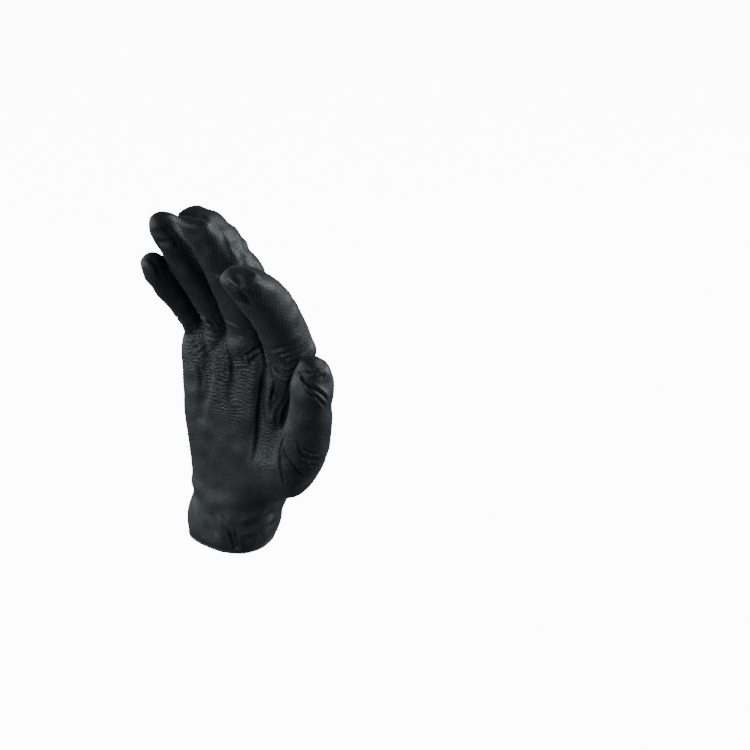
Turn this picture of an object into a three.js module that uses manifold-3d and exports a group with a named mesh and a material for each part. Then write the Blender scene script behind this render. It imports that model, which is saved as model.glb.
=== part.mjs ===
import * as THREE from 'three';
import { mergeVertices } from 'three/addons/utils/BufferGeometryUtils.js';
import Module from 'manifold-3d';

// Nitrile examination glove for the right hand, in the relaxed form it has when worn.
// One dipped film, hollow from the cuff opening to every fingertip.
// Millimetres. The origin is the centre of the cuff opening, +Z runs to the fingertips,
// the palm faces -Y and the thumb is on the +X side.

// Film and rolled rim
const FILM = 1.3;
const BEAD_RADIUS = 1.4;

// Cuff, wrist and palm
const CUFF_HEIGHT = 31;
const CUFF_HALF_WIDTH = 29.8;
const CUFF_HALF_DEPTH = 23.5;
const WRIST_HALF_WIDTH = 28.8;
const WRIST_HALF_DEPTH = 21.5;
const WRIST_SHIFT_X = 4.3;
const WRIST_SHIFT_Y = 3.8;
const PALM_LENGTH = 113;
const PALM_HALF_WIDTH = 42;
const PALM_HALF_DEPTH = 17.5;
const PALM_CUP = 4;
const PALM_TILT = 3;
const PALM_SQUARENESS = 2.5;
const FOLD_DEPTH = 4;
const FOLD_REACH = 6;
const DIGIT_SQUARENESS = 2.15;

// Lengths of the digits from their roots inside the palm to their tips
const LITTLE_LENGTH = 86.5;
const RING_LENGTH = 107;
const MIDDLE_LENGTH = 110.5;
const INDEX_LENGTH = 111;
const THUMB_LENGTH = 120;

// Half widths and half depths of the digits
const LITTLE_HALF_WIDTH = 7.8;
const LITTLE_HALF_DEPTH = 9.4;
const RING_HALF_WIDTH = 8.8;
const RING_HALF_DEPTH = 11.8;
const MIDDLE_HALF_WIDTH = 13;
const MIDDLE_HALF_DEPTH = 14.1;
const INDEX_HALF_WIDTH = 13.5;
const INDEX_HALF_DEPTH = 12.9;
const THUMB_HALF_WIDTH = 12;
const THUMB_HALF_DEPTH = 12.4;

// Film over the web between the thumb and the palm
const WEB_LENGTH = 52;
const WEB_HALF_WIDTH = 14;
const WEB_HALF_DEPTH = 10;

// Facets
const PALM_SIDES = 44;
const PALM_RINGS = 24;
const FINGER_SIDES = 14;
const DIGIT_RINGS = 14;
const THUMB_SIDES = 16;
const BEAD_STEPS = 44;
const BEAD_SIDES = 6;
const PALMAR_CROWDING = 0.3;

// Cuff from the rim upward, in shares of the cuff's own sizes. shift is the share of the way
// from the rim's centre to the wrist's.
const CUFF_SHARES = [
  { up: 0, shift: 0, width: 0.92, depth: 0.92 },
  { up: 0.16, shift: 0.12, width: 0.98, depth: 0.98 },
  { up: 0.45, shift: 0.36, width: 1.01, depth: 1.01 },
  { up: 0.75, shift: 0.7, width: 0.98, depth: 0.96 },
];

// Palm from the wrist to the roots of the fingers. up is in shares of its length, side and width
// in shares of its half width, drop (toward the palm side) and depth in shares of its half depth.
const PALM_SHARES = [
  { up: 0.09, side: 0.055, width: 0.765, drop: 0, depth: 1.16 },
  { up: 0.215, side: 0.11, width: 0.845, drop: 0, depth: 1.08 },
  { up: 0.4, side: 0.182, width: 0.91, drop: 0, depth: 1.02 },
  { up: 0.575, side: 0.23, width: 0.955, drop: 0.02, depth: 0.96 },
  { up: 0.745, side: 0.253, width: 0.98, drop: 0.05, depth: 0.87 },
  { up: 0.86, side: 0.255, width: 0.975, drop: 0.06, depth: 0.76 },
  { up: 0.93, side: 0.24, width: 0.91, drop: 0.05, depth: 0.6 },
  { up: 0.975, side: 0.235, width: 0.77, drop: 0.03, depth: 0.4 },
  { up: 1, side: 0.23, width: 0.56, drop: 0, depth: 0.2 },
];

// Sections of the cuff and palm: height, centre and half sizes
const PALM_SECTIONS = [
  ...CUFF_SHARES.map((row) => ({
    z: row.up * CUFF_HEIGHT,
    x: row.shift * WRIST_SHIFT_X,
    y: row.shift * WRIST_SHIFT_Y,
    width: row.width * CUFF_HALF_WIDTH,
    depth: row.depth * CUFF_HALF_DEPTH,
  })),
  {
    z: CUFF_HEIGHT,
    x: WRIST_SHIFT_X,
    y: WRIST_SHIFT_Y,
    width: WRIST_HALF_WIDTH,
    depth: WRIST_HALF_DEPTH,
  },
  ...PALM_SHARES.map((row) => ({
    z: CUFF_HEIGHT + row.up * PALM_LENGTH,
    x: WRIST_SHIFT_X + row.side * PALM_HALF_WIDTH,
    y: WRIST_SHIFT_Y - row.drop * PALM_HALF_DEPTH,
    width: row.width * PALM_HALF_WIDTH,
    depth: row.depth * PALM_HALF_DEPTH,
  })),
];

// Folds along the palm side. low and high are the ends in shares of the palm's length above
// the wrist, xLow and xHigh their places in shares of its half width from the wrist's centre.
const PALM_FOLDS = [
  { low: 0.22, high: 0.93, xLow: 0.7, xHigh: 0.8, depth: 1, reach: 0.95 },
  { low: 0.62, high: 0.99, xLow: 0.27, xHigh: 0.37, depth: 0.55, reach: 0.9 },
  { low: 0.45, high: 0.92, xLow: -0.27, xHigh: -0.1, depth: 0.4, reach: 1 },
  { low: 0.6, high: 0.83, xLow: 0.95, xHigh: 1.05, depth: 0.5, reach: 0.8 },
  { low: -0.25, high: -0.12, xLow: 0.32, xHigh: 0.24, depth: 0.4, reach: 0.8 },
];

// Shares of a digit's half width and half depth along its length. drop moves the section
// toward the palm side, in shares of the half depth.
const FINGER_PROFILE = [
  { along: 0, width: 0.9, depth: 0.86, drop: -0.04 },
  { along: 0.2, width: 0.99, depth: 1.05, drop: -0.06 },
  { along: 0.28, width: 0.98, depth: 0.99, drop: -0.03 },
  { along: 0.38, width: 1, depth: 1.01, drop: 0 },
  { along: 0.6, width: 1, depth: 1, drop: 0 },
  { along: 0.78, width: 0.99, depth: 0.95, drop: 0.02 },
  { along: 0.88, width: 0.95, depth: 0.86, drop: 0.07 },
  { along: 0.95, width: 0.83, depth: 0.69, drop: 0.12 },
  { along: 0.985, width: 0.61, depth: 0.47, drop: 0.15 },
  { along: 1, width: 0.3, depth: 0.24, drop: 0.17 },
];

const INDEX_PROFILE = [
  { along: 0, width: 0.6, depth: 0.76, drop: 0.06 },
  { along: 0.14, width: 0.72, depth: 0.93, drop: 0.02 },
  { along: 0.28, width: 0.94, depth: 1.02, drop: 0 },
  { along: 0.4, width: 1, depth: 1, drop: 0 },
  { along: 0.62, width: 1, depth: 0.99, drop: 0.01 },
  { along: 0.77, width: 1, depth: 0.92, drop: 0.08 },
  { along: 0.875, width: 0.96, depth: 0.78, drop: 0.21 },
  { along: 0.95, width: 0.84, depth: 0.6, drop: 0.33 },
  { along: 0.985, width: 0.6, depth: 0.42, drop: 0.41 },
  { along: 1, width: 0.3, depth: 0.2, drop: 0.44 },
];

const THUMB_PROFILE = [
  { along: 0, width: 1, depth: 1, drop: 0 },
  { along: 0.08, width: 1.16, depth: 1.14, drop: 0 },
  { along: 0.2, width: 1.25, depth: 1.22, drop: 0 },
  { along: 0.34, width: 1.3, depth: 1.25, drop: 0 },
  { along: 0.51, width: 1.17, depth: 1.11, drop: 0 },
  { along: 0.68, width: 1.01, depth: 1, drop: 0 },
  { along: 0.77, width: 0.96, depth: 0.95, drop: 0 },
  { along: 0.84, width: 1, depth: 0.98, drop: 0 },
  { along: 0.91, width: 0.93, depth: 0.88, drop: 0 },
  { along: 0.955, width: 0.76, depth: 0.72, drop: 0 },
  { along: 0.985, width: 0.52, depth: 0.48, drop: 0 },
  { along: 1, width: 0.22, depth: 0.2, drop: 0 },
];

const WEB_PROFILE = [
  { along: 0, width: 0.7, depth: 0.8, drop: 0 },
  { along: 0.3, width: 1, depth: 1, drop: 0 },
  { along: 0.6, width: 1, depth: 0.96, drop: 0 },
  { along: 0.8, width: 0.92, depth: 0.8, drop: 0 },
  { along: 0.93, width: 0.68, depth: 0.56, drop: 0 },
  { along: 1, width: 0.3, depth: 0.24, drop: 0 },
];

// Root of each digit and of the thumb's web from the wrist, in shares of the palm, and its pose.
// curl is the angle toward the palm and lean the angle toward the little finger side, in degrees,
// at the root, past the knuckle and at the tip. bend is where the knuckle starts and ends along it.
const DIGITS = [
  {
    name: 'little', x: -0.569, up: 0.697, y: -0.291,
    length: LITTLE_LENGTH, width: LITTLE_HALF_WIDTH, depth: LITTLE_HALF_DEPTH,
    curl: [-1, 24.7, 31.4], lean: [-4.6, 8.3, 13.8], bend: [0.2, 0.42],
    profile: FINGER_PROFILE, sides: FINGER_SIDES,
  },
  {
    name: 'ring', x: -0.1135, up: 0.746, y: -0.24,
    length: RING_LENGTH, width: RING_HALF_WIDTH, depth: RING_HALF_DEPTH,
    curl: [-0.7, 20, 21], lean: [-1.8, 16.3, 13], bend: [0.2, 0.42],
    profile: FINGER_PROFILE, sides: FINGER_SIDES,
  },
  {
    name: 'middle', x: 0.402, up: 0.755, y: -0.09,
    length: MIDDLE_LENGTH, width: MIDDLE_HALF_WIDTH, depth: MIDDLE_HALF_DEPTH,
    curl: [3, 15.5, 25], lean: [-1.3, 7.7, 6.1], bend: [0.2, 0.42],
    profile: FINGER_PROFILE, sides: FINGER_SIDES,
  },
  {
    name: 'index', x: 1.03, up: 0.65, y: 0.08,
    length: INDEX_LENGTH, width: INDEX_HALF_WIDTH, depth: INDEX_HALF_DEPTH,
    curl: [9.4, 29.7, 42.1], lean: [-3.7, -1.2, 1.7], bend: [0.285, 0.48],
    profile: INDEX_PROFILE, sides: FINGER_SIDES,
  },
  {
    name: 'thumb', x: 0.44, up: 0.08, y: 0.057,
    length: THUMB_LENGTH, width: THUMB_HALF_WIDTH, depth: THUMB_HALF_DEPTH,
    curl: [11, 4, 2], lean: [-50, -22.6, -4.4], bend: [0.25, 0.46],
    profile: THUMB_PROFILE, sides: THUMB_SIDES,
  },
  {
    name: 'web', x: 0.56, up: 0.125, y: 0,
    length: WEB_LENGTH, width: WEB_HALF_WIDTH, depth: WEB_HALF_DEPTH,
    curl: [6, 6, 6], lean: [-28, -26, -22], bend: [0.3, 0.7],
    profile: WEB_PROFILE, sides: FINGER_SIDES,
  },
];
const DIGIT_STEPS = 60;
const TIP_CROWDING = 0.62;

const LEAST_INNER_SHARE = 0.2;
const CUT_LENGTH = 6;
const WELD = 1e-3;
const FULL_TURN = 2 * Math.PI;

const FILM_COLOUR = 0x23282a;
const FILM_ROUGHNESS = 0.55;

// Smooth value of a column of a table at a place along it
function lookup(rows, along, column, at) {
  const last = rows.length - 1;
  let low = 0;
  while (low < last - 1 && rows[low + 1][along] < at) {
    low += 1;
  }
  const high = low + 1;
  const span = rows[high][along] - rows[low][along];
  const share = THREE.MathUtils.clamp((at - rows[low][along]) / span, 0, 1);
  const rise = rows[high][column] - rows[low][column];
  const slopeAt = (index) => {
    const before = Math.max(index - 1, 0);
    const after = Math.min(index + 1, last);
    return (rows[after][column] - rows[before][column]) / (rows[after][along] - rows[before][along]);
  };
  const startTerm = span * slopeAt(low) - rise;
  const endTerm = rise - span * slopeAt(high);
  const bend = share * (1 - share) * (startTerm * (1 - share) + endTerm * share);
  return rows[low][column] + rise * share + bend;
}

// Coordinate of a rounded section: 1 along its axis, flatter than a circle
function rounded(value, squareness) {
  return Math.sign(value) * Math.abs(value) ** (2 / squareness);
}

// Depth of the palm's folds at a place on the palm side
function foldAt(x, height) {
  let total = 0;
  PALM_FOLDS.forEach((fold) => {
    const up = (height - CUFF_HEIGHT) / PALM_LENGTH;
    const share = THREE.MathUtils.clamp((up - fold.low) / (fold.high - fold.low), 0, 1);
    const line = THREE.MathUtils.lerp(fold.xLow, fold.xHigh, share);
    const foldX = WRIST_SHIFT_X + line * PALM_HALF_WIDTH;
    const away = Math.min(Math.abs(x - foldX) / (fold.reach * FOLD_REACH), 1);
    const across = (1 + Math.cos(Math.PI * away)) / 2;
    total += fold.depth * FOLD_DEPTH * across * Math.sqrt(Math.sin(Math.PI * share));
  });
  return total;
}

// Closed body through equal rings of points, with a fan at each end
function loft(rings) {
  const sides = rings[0].length;
  const positions = [];
  const index = [];
  rings.forEach((ring) => ring.forEach((point) => positions.push(point.x, point.y, point.z)));
  for (let row = 0; row < rings.length - 1; row += 1) {
    for (let side = 0; side < sides; side += 1) {
      const next = (side + 1) % sides;
      const a = row * sides + side;
      const b = row * sides + next;
      const c = a + sides;
      const d = b + sides;
      index.push(a, b, d, a, d, c);
    }
  }
  const ends = [rings[0], rings[rings.length - 1]];
  ends.forEach((ring, end) => {
    const centre = new THREE.Vector3();
    ring.forEach((point) => centre.addScaledVector(point, 1 / sides));
    const hub = positions.length / 3;
    positions.push(centre.x, centre.y, centre.z);
    const first = end * (rings.length - 1) * sides;
    for (let side = 0; side < sides; side += 1) {
      const here = first + side;
      const next = first + ((side + 1) % sides);
      if (end === 0) {
        index.push(hub, next, here);
      } else {
        index.push(hub, here, next);
      }
    }
  });
  const geometry = new THREE.BufferGeometry();
  geometry.setAttribute('position', new THREE.Float32BufferAttribute(positions, 3));
  geometry.setIndex(index);
  return geometry;
}

// Cuff and palm. inset is the film's thickness for the hollow, 0 for the outside.
function palmGeometry(inset) {
  const top = PALM_SECTIONS[PALM_SECTIONS.length - 1].z;
  const rings = [];
  const heights = [];
  if (inset > 0) {
    heights.push(-CUT_LENGTH);
  }
  for (let ring = 0; ring <= PALM_RINGS; ring += 1) {
    heights.push(((top - inset) * ring) / PALM_RINGS);
  }
  heights.forEach((height) => {
    const at = Math.max(height, 0);
    const centreX = lookup(PALM_SECTIONS, 'z', 'x', at);
    const centreY = lookup(PALM_SECTIONS, 'z', 'y', at);
    const width = lookup(PALM_SECTIONS, 'z', 'width', at) - inset;
    const depth = lookup(PALM_SECTIONS, 'z', 'depth', at) - inset;
    const shaping = THREE.MathUtils.smoothstep(at, CUFF_HEIGHT, CUFF_HEIGHT + PALM_LENGTH / 2);
    const points = [];
    for (let side = 0; side < PALM_SIDES; side += 1) {
      const turn = (FULL_TURN * side) / PALM_SIDES;
      const angle = turn - PALMAR_CROWDING * Math.cos(turn);
      const across = rounded(Math.cos(angle), PALM_SQUARENESS);
      const out = rounded(Math.sin(angle), PALM_SQUARENESS);
      const x = centreX + width * across;
      const fold = out < 0 ? foldAt(x, at) : 0;
      const lift = shaping * (PALM_TILT * across - PALM_CUP * across * across);
      points.push(new THREE.Vector3(x, centreY + depth * out + lift + fold, height));
    }
    rings.push(points);
  });
  return loft(rings);
}

// Centre line of a digit: points and directions at even steps from root to tip
function digitLine(digit) {
  const poseRows = [
    { along: 0, curl: digit.curl[0], lean: digit.lean[0] },
    { along: digit.bend[0], curl: digit.curl[0], lean: digit.lean[0] },
    { along: digit.bend[1], curl: digit.curl[1], lean: digit.lean[1] },
    { along: 1, curl: digit.curl[2], lean: digit.lean[2] },
  ];
  const directions = [];
  for (let step = 0; step <= DIGIT_STEPS; step += 1) {
    const along = step / DIGIT_STEPS;
    const curl = THREE.MathUtils.degToRad(lookup(poseRows, 'along', 'curl', along));
    const lean = THREE.MathUtils.degToRad(lookup(poseRows, 'along', 'lean', along));
    directions.push(new THREE.Vector3(
      -Math.sin(lean) * Math.cos(curl),
      -Math.sin(curl),
      Math.cos(lean) * Math.cos(curl),
    ));
  }
  const points = [new THREE.Vector3(
    WRIST_SHIFT_X + digit.x * PALM_HALF_WIDTH,
    WRIST_SHIFT_Y + digit.y * PALM_HALF_DEPTH,
    CUFF_HEIGHT + digit.up * PALM_LENGTH,
  )];
  for (let step = 0; step < DIGIT_STEPS; step += 1) {
    const middle = directions[step].clone().add(directions[step + 1]).normalize();
    points.push(points[step].clone().addScaledVector(middle, digit.length / DIGIT_STEPS));
  }
  return { points, directions };
}

function digitGeometry(digit, inset) {
  const line = digitLine(digit);
  const rings = [];
  for (let ring = 0; ring <= DIGIT_RINGS; ring += 1) {
    const even = ring / DIGIT_RINGS;
    const along = even + TIP_CROWDING * even * (1 - even) * even;
    const place = Math.min(along * DIGIT_STEPS, DIGIT_STEPS);
    const step = Math.min(Math.floor(place), DIGIT_STEPS - 1);
    const centre = line.points[step].clone().lerp(line.points[step + 1], place - step);
    const forward = line.directions[step].clone().lerp(line.directions[step + 1], place - step);
    forward.normalize();
    centre.addScaledVector(forward, inset * (1 - 2 * along));
    const side = new THREE.Vector3(1, 0, 0);
    side.addScaledVector(forward, -side.dot(forward)).normalize();
    const back = new THREE.Vector3().crossVectors(forward, side);
    const width = lookup(digit.profile, 'along', 'width', along) * digit.width;
    const depth = lookup(digit.profile, 'along', 'depth', along) * digit.depth;
    const inner = Math.max(1 - inset / Math.min(width, depth), LEAST_INNER_SHARE);
    centre.addScaledVector(back, -lookup(digit.profile, 'along', 'drop', along) * digit.depth);
    const points = [];
    for (let corner = 0; corner < digit.sides; corner += 1) {
      const turn = (FULL_TURN * corner) / digit.sides;
      const across = rounded(Math.cos(turn), DIGIT_SQUARENESS) * width * inner;
      const out = rounded(Math.sin(turn), DIGIT_SQUARENESS) * depth * inner;
      points.push(centre.clone().addScaledVector(side, across).addScaledVector(back, out));
    }
    rings.push(points);
  }
  return loft(rings);
}

// Rolled edge of the cuff opening
function beadGeometry() {
  const rim = PALM_SECTIONS[0];
  const points = [];
  for (let step = 0; step < BEAD_STEPS; step += 1) {
    const turn = (FULL_TURN * step) / BEAD_STEPS;
    points.push(new THREE.Vector3(
      rim.x + (rim.width - FILM / 2) * rounded(Math.cos(turn), PALM_SQUARENESS),
      rim.y + (rim.depth - FILM / 2) * rounded(Math.sin(turn), PALM_SQUARENESS),
      BEAD_RADIUS,
    ));
  }
  const path = new THREE.CatmullRomCurve3(points, true);
  return new THREE.TubeGeometry(path, BEAD_STEPS, BEAD_RADIUS, BEAD_SIDES, true);
}

const wasm = await Module();
wasm.setup();

function toSolid(geometry) {
  const bare = geometry.clone();
  bare.deleteAttribute('normal');
  bare.deleteAttribute('uv');
  const merged = mergeVertices(bare, WELD);
  return new wasm.Manifold(new wasm.Mesh({
    numProp: 3,
    vertProperties: new Float32Array(merged.attributes.position.array),
    triVerts: new Uint32Array(merged.index.array),
  }));
}

function toGeometry(solid) {
  const mesh = solid.getMesh();
  const geometry = new THREE.BufferGeometry();
  geometry.setAttribute('position', new THREE.BufferAttribute(new Float32Array(mesh.vertProperties), 3));
  geometry.setIndex(Array.from(mesh.triVerts));
  return geometry;
}

function handForm(inset) {
  let form = toSolid(palmGeometry(inset));
  DIGITS.forEach((digit) => {
    form = form.add(toSolid(digitGeometry(digit, inset)));
  });
  return form;
}

const film = handForm(0).subtract(handForm(FILM)).add(toSolid(beadGeometry()));
const filmGeometry = toGeometry(film);
filmGeometry.computeVertexNormals();

const filmMaterial = new THREE.MeshStandardMaterial({
  color: FILM_COLOUR,
  roughness: FILM_ROUGHNESS,
  metalness: 0,
});
const filmMesh = new THREE.Mesh(filmGeometry, filmMaterial);
filmMesh.name = 'glove_film';

const glove = new THREE.Group();
glove.name = 'nitrile_exam_glove';
glove.add(filmMesh);

export default glove;
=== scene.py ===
"""Right nitrile examination glove: its film, its grip pips, the studio and the camera.

Sizes in this file are in millimetres and in the part's frame: the origin is the centre of the
cuff opening, +Z runs to the fingertips, the palm faces -Y and the thumb is on the +X side.
Meshes are written in metres.
"""

from __future__ import annotations

import logging
import math
from dataclasses import dataclass, field
from enum import Enum

import bmesh
import bpy
import numpy as np
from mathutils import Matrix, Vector

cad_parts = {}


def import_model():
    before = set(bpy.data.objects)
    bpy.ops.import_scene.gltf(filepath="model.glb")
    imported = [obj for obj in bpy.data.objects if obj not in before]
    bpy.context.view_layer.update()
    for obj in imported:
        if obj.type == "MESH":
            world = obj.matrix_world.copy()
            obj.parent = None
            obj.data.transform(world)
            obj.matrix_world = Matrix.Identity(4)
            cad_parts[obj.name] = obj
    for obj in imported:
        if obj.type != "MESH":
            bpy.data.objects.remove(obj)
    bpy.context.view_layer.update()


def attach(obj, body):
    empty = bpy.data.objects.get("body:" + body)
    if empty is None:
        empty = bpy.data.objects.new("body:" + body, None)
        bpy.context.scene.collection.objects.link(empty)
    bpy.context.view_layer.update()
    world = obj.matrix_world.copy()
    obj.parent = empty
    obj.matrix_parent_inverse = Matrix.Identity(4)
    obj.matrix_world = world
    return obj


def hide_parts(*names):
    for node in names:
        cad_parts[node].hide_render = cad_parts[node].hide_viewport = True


Array = np.ndarray
Socket = bpy.types.NodeSocket
Triple = tuple[float, float, float]
LOG = logging.getLogger("glove")
MM = 0.001
FULL_TURN = 2 * math.pi
NEAREST_LAYER = 1.5
MOST_PAIRS = 4_000_000


# Small formulas


def unit(vectors: Array) -> Array:
    """Gives each row the length one.

    Args:
        vectors: rows of three numbers.

    Returns:
        The rows divided by their lengths.
    """
    return vectors / np.maximum(np.linalg.norm(vectors, axis=-1, keepdims=True), 1e-12)


def smooth_step(value: Array, low: float, high: float) -> Array:
    """Rises from 0 at low to 1 at high as 3t squared less 2t cubed, and stays flat outside.

    Args:
        value: numbers to weigh.
        low: where the rise starts.
        high: where it ends.

    Returns:
        The weights.
    """
    share = np.clip((value - low) / (high - low), 0, 1)
    return share * share * (3 - 2 * share)


def rounded(value: Array, squareness: float) -> Array:
    """Coordinate of a superellipse: the sign of the value times its size to the power 2/squareness.

    Args:
        value: cosines or sines of the turn round the section.
        squareness: 2 for an ellipse, more for flatter sides.

    Returns:
        The coordinates, from -1 to 1.
    """
    return np.sign(value) * np.abs(value) ** (2 / squareness)


def nearest(places: Array, points: Array, reach: float) -> tuple[Array, Array]:
    """Finds the nearest of many points for each place.

    It looks layer by layer in height, NEAREST_LAYER apart, and holds about MOST_PAIRS
    distances at once.

    Args:
        places: rows of three numbers.
        points: the points to choose from.
        reach: the most that a height may differ.

    Returns:
        The index of the nearest point, and its distance, for each place.
    """
    layer = NEAREST_LAYER
    index = np.zeros(len(places), int)
    distance = np.full(len(places), np.inf)
    order = np.argsort(points[:, 2])
    heights = points[order, 2]
    slot = np.floor(places[:, 2] / layer).astype(int)
    for level in np.unique(slot):
        mine = np.flatnonzero(slot == level)
        low, high = np.searchsorted(heights, (level * layer - reach, (level + 1) * layer + reach))
        if high <= low:
            continue
        pool = order[low:high]
        for part in np.array_split(mine, max(1, len(mine) * len(pool) // MOST_PAIRS)):
            if len(part):
                gaps = ((places[part][:, None] - points[pool][None]) ** 2).sum(axis=-1)
                best = gaps.argmin(axis=1)
                index[part] = pool[best]
                distance[part] = np.sqrt(gaps[np.arange(len(part)), best])
    return index, distance


@dataclass(frozen=True)
class Table:
    """Rows of named columns, read as smooth curves along the first column."""

    columns: tuple[str, ...]
    rows: tuple[tuple[float, ...], ...]

    def column(self, name: str) -> Array:
        """Gives all the numbers under one name."""
        return np.array([row[self.columns.index(name)] for row in self.rows], float)

    def at(self, name: str, place: Array) -> Array:
        """Reads a column between its rows.

        The curve is a cubic through the rows. Its slope at a row is the rise between the two
        neighbouring rows over the distance between them.

        Args:
            name: the column to read.
            place: places along the first column.

        Returns:
            The column's values there.
        """
        along, value = self.column(self.columns[0]), self.column(name)
        before = np.maximum(np.arange(len(along)) - 1, 0)
        after = np.minimum(np.arange(len(along)) + 1, len(along) - 1)
        slope = (value[after] - value[before]) / (along[after] - along[before])
        low = np.clip(np.searchsorted(along, place, side="left") - 1, 0, len(along) - 2)
        span = along[low + 1] - along[low]
        rise = value[low + 1] - value[low]
        share = np.clip((place - along[low]) / span, 0, 1)
        start = span * slope[low] - rise
        end = rise - span * slope[low + 1]
        bend = share * (1 - share) * (start * (1 - share) + end * share)
        return value[low] + rise * share + bend


# Surfaces and meshes


@dataclass
class Surface:
    """Points with four-sided and three-sided faces over them."""

    points: Array
    quads: Array = field(default_factory=lambda: np.zeros((0, 4), int))
    tris: Array = field(default_factory=lambda: np.zeros((0, 3), int))

    @classmethod
    def joined(cls, parts: list[Surface]) -> Surface:
        """Puts several surfaces into one, each with its own points.

        Args:
            parts: the surfaces.

        Returns:
            The one surface, with each part's faces raised by the count of points before it.
        """
        starts = np.cumsum([0] + [len(part.points) for part in parts])
        return cls(
            np.concatenate([part.points for part in parts]),
            np.concatenate([part.quads + start for part, start in zip(parts, starts)]),
            np.concatenate([part.tris + start for part, start in zip(parts, starts)]),
        )

    @classmethod
    def lofted(cls, grid: Array, ends_closed: bool = True) -> Surface:
        """Joins rings of points, row by row, into a tube.

        Args:
            grid: points as rings x points round x 3, turning so that the faces point outward.
            ends_closed: puts a hub of faces on the first and last ring, else joins them.

        Returns:
            The closed surface.
        """
        rings, sides = grid.shape[:2]
        number = np.arange(rings * sides).reshape(rings, sides)
        here = number[:-1] if ends_closed else number
        above = number[1:] if ends_closed else np.roll(number, -1, axis=0)
        quads = np.stack(
            [here, np.roll(here, -1, axis=1), np.roll(above, -1, axis=1), above], axis=-1
        ).reshape(-1, 4)
        points = grid.reshape(-1, 3)
        if not ends_closed:
            return cls(points, quads)
        hubs = np.stack([grid[0].mean(axis=0), grid[-1].mean(axis=0)])
        first, last = number[0], number[-1]
        tris = np.concatenate([
            np.stack([np.full(sides, rings * sides), np.roll(first, -1), first], axis=-1),
            np.stack([np.full(sides, rings * sides + 1), last, np.roll(last, -1)], axis=-1),
        ])
        return cls(np.concatenate([points, hubs]), quads, tris)

    @classmethod
    def read(cls, mesh: bpy.types.Mesh) -> Surface:
        """Reads a mesh of quads and triangles.

        Args:
            mesh: the mesh, in metres.

        Returns:
            The surface, in millimetres.
        """
        points = np.empty(len(mesh.vertices) * 3)
        mesh.vertices.foreach_get("co", points)
        total = np.empty(len(mesh.polygons), int)
        start = np.empty(len(mesh.polygons), int)
        corners = np.empty(len(mesh.loops), int)
        mesh.polygons.foreach_get("loop_total", total)
        mesh.polygons.foreach_get("loop_start", start)
        mesh.loops.foreach_get("vertex_index", corners)
        quads = corners[start[total == 4][:, None] + np.arange(4)]
        tris = corners[start[total == 3][:, None] + np.arange(3)]
        return cls(points.reshape(-1, 3) / MM, quads, tris)

    def mesh(self, name: str) -> bpy.types.Mesh:
        """Writes the surface into a new mesh.

        Args:
            name: the mesh's name.

        Returns:
            The mesh, in metres and shaded smooth.
        """
        mesh = bpy.data.meshes.new(name)
        corners = np.concatenate([self.quads.ravel(), self.tris.ravel()])
        turns = len(self.quads) * 4
        starts = np.concatenate([
            np.arange(len(self.quads)) * 4, turns + np.arange(len(self.tris)) * 3
        ])
        mesh.vertices.add(len(self.points))
        mesh.vertices.foreach_set("co", (self.points * MM).ravel())
        mesh.loops.add(len(corners))
        mesh.loops.foreach_set("vertex_index", corners.astype(np.int32))
        mesh.polygons.add(len(starts))
        mesh.polygons.foreach_set("loop_start", starts.astype(np.int32))
        mesh.polygons.foreach_set("use_smooth", np.ones(len(starts), bool))
        mesh.update(calc_edges=True)
        mesh.validate()
        return mesh

    def edges(self) -> tuple[Array, Array]:
        """Lists every face's sides in both directions.

        Returns:
            The point that each side starts from, and the point that it ends at.
        """
        pairs = [
            np.stack([faces, np.roll(faces, -1, axis=1)], axis=-1).reshape(-1, 2)
            for faces in (self.quads, self.tris)
        ]
        both = np.concatenate(pairs)
        return (
            np.concatenate([both[:, 0], both[:, 1]]),
            np.concatenate([both[:, 1], both[:, 0]]),
        )

    def gathered(self, ends: Array, values: Array) -> Array:
        """Adds up rows of values at the points that they belong to.

        Args:
            ends: the point that each row belongs to.
            values: rows of three numbers.

        Returns:
            One sum of rows for each point.
        """
        return np.stack(
            [np.bincount(ends, values[:, axis], len(self.points)) for axis in range(3)], axis=-1
        )

    def normals(self) -> Array:
        """Outward direction at each point: the sum of its faces' normals by area, made unit.

        A quad's normal is the cross product of its diagonals, a triangle's that of two sides.

        Returns:
            One unit vector for each point.
        """
        quad, tri = self.points[self.quads], self.points[self.tris]
        over_quads = np.cross(quad[:, 2] - quad[:, 0], quad[:, 3] - quad[:, 1])
        over_tris = np.cross(tri[:, 1] - tri[:, 0], tri[:, 2] - tri[:, 0])
        total = self.gathered(self.quads.ravel(), np.repeat(over_quads, 4, axis=0))
        total += self.gathered(self.tris.ravel(), np.repeat(over_tris, 3, axis=0))
        return unit(total)

    def pull(self) -> Array:
        """Step of each point to the mean of its neighbours.

        Returns:
            One step for each point.
        """
        starts, ends = self.edges()
        count = np.bincount(starts, minlength=len(self.points))
        return self.gathered(starts, self.points[ends]) / count[:, None] - self.points

    def relax(self, share: float, times: int, weight: Array | None = None) -> None:
        """Moves each point toward the mean of its neighbours.

        Args:
            share: part of the way that it moves each time.
            times: number of passes.
            weight: one number from 0 to 1 for each point, or none for all of them alike.
        """
        starts, ends = self.edges()
        count = np.bincount(starts, minlength=len(self.points))[:, None]
        scale = share if weight is None else share * weight[:, None]
        for _ in range(times):
            mean = self.gathered(starts, self.points[ends]) / count
            self.points = self.points + scale * (mean - self.points)

    def spread(self, value: Array, times: int) -> Array:
        """Evens out numbers over the surface: each becomes half itself, half its neighbours' mean.

        Args:
            value: one number for each point.
            times: number of passes.

        Returns:
            The evened numbers.
        """
        starts, ends = self.edges()
        count = np.bincount(starts, minlength=len(self.points))
        for _ in range(times):
            value = (value + np.bincount(starts, value[ends], len(self.points)) / count) / 2
        return value


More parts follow.
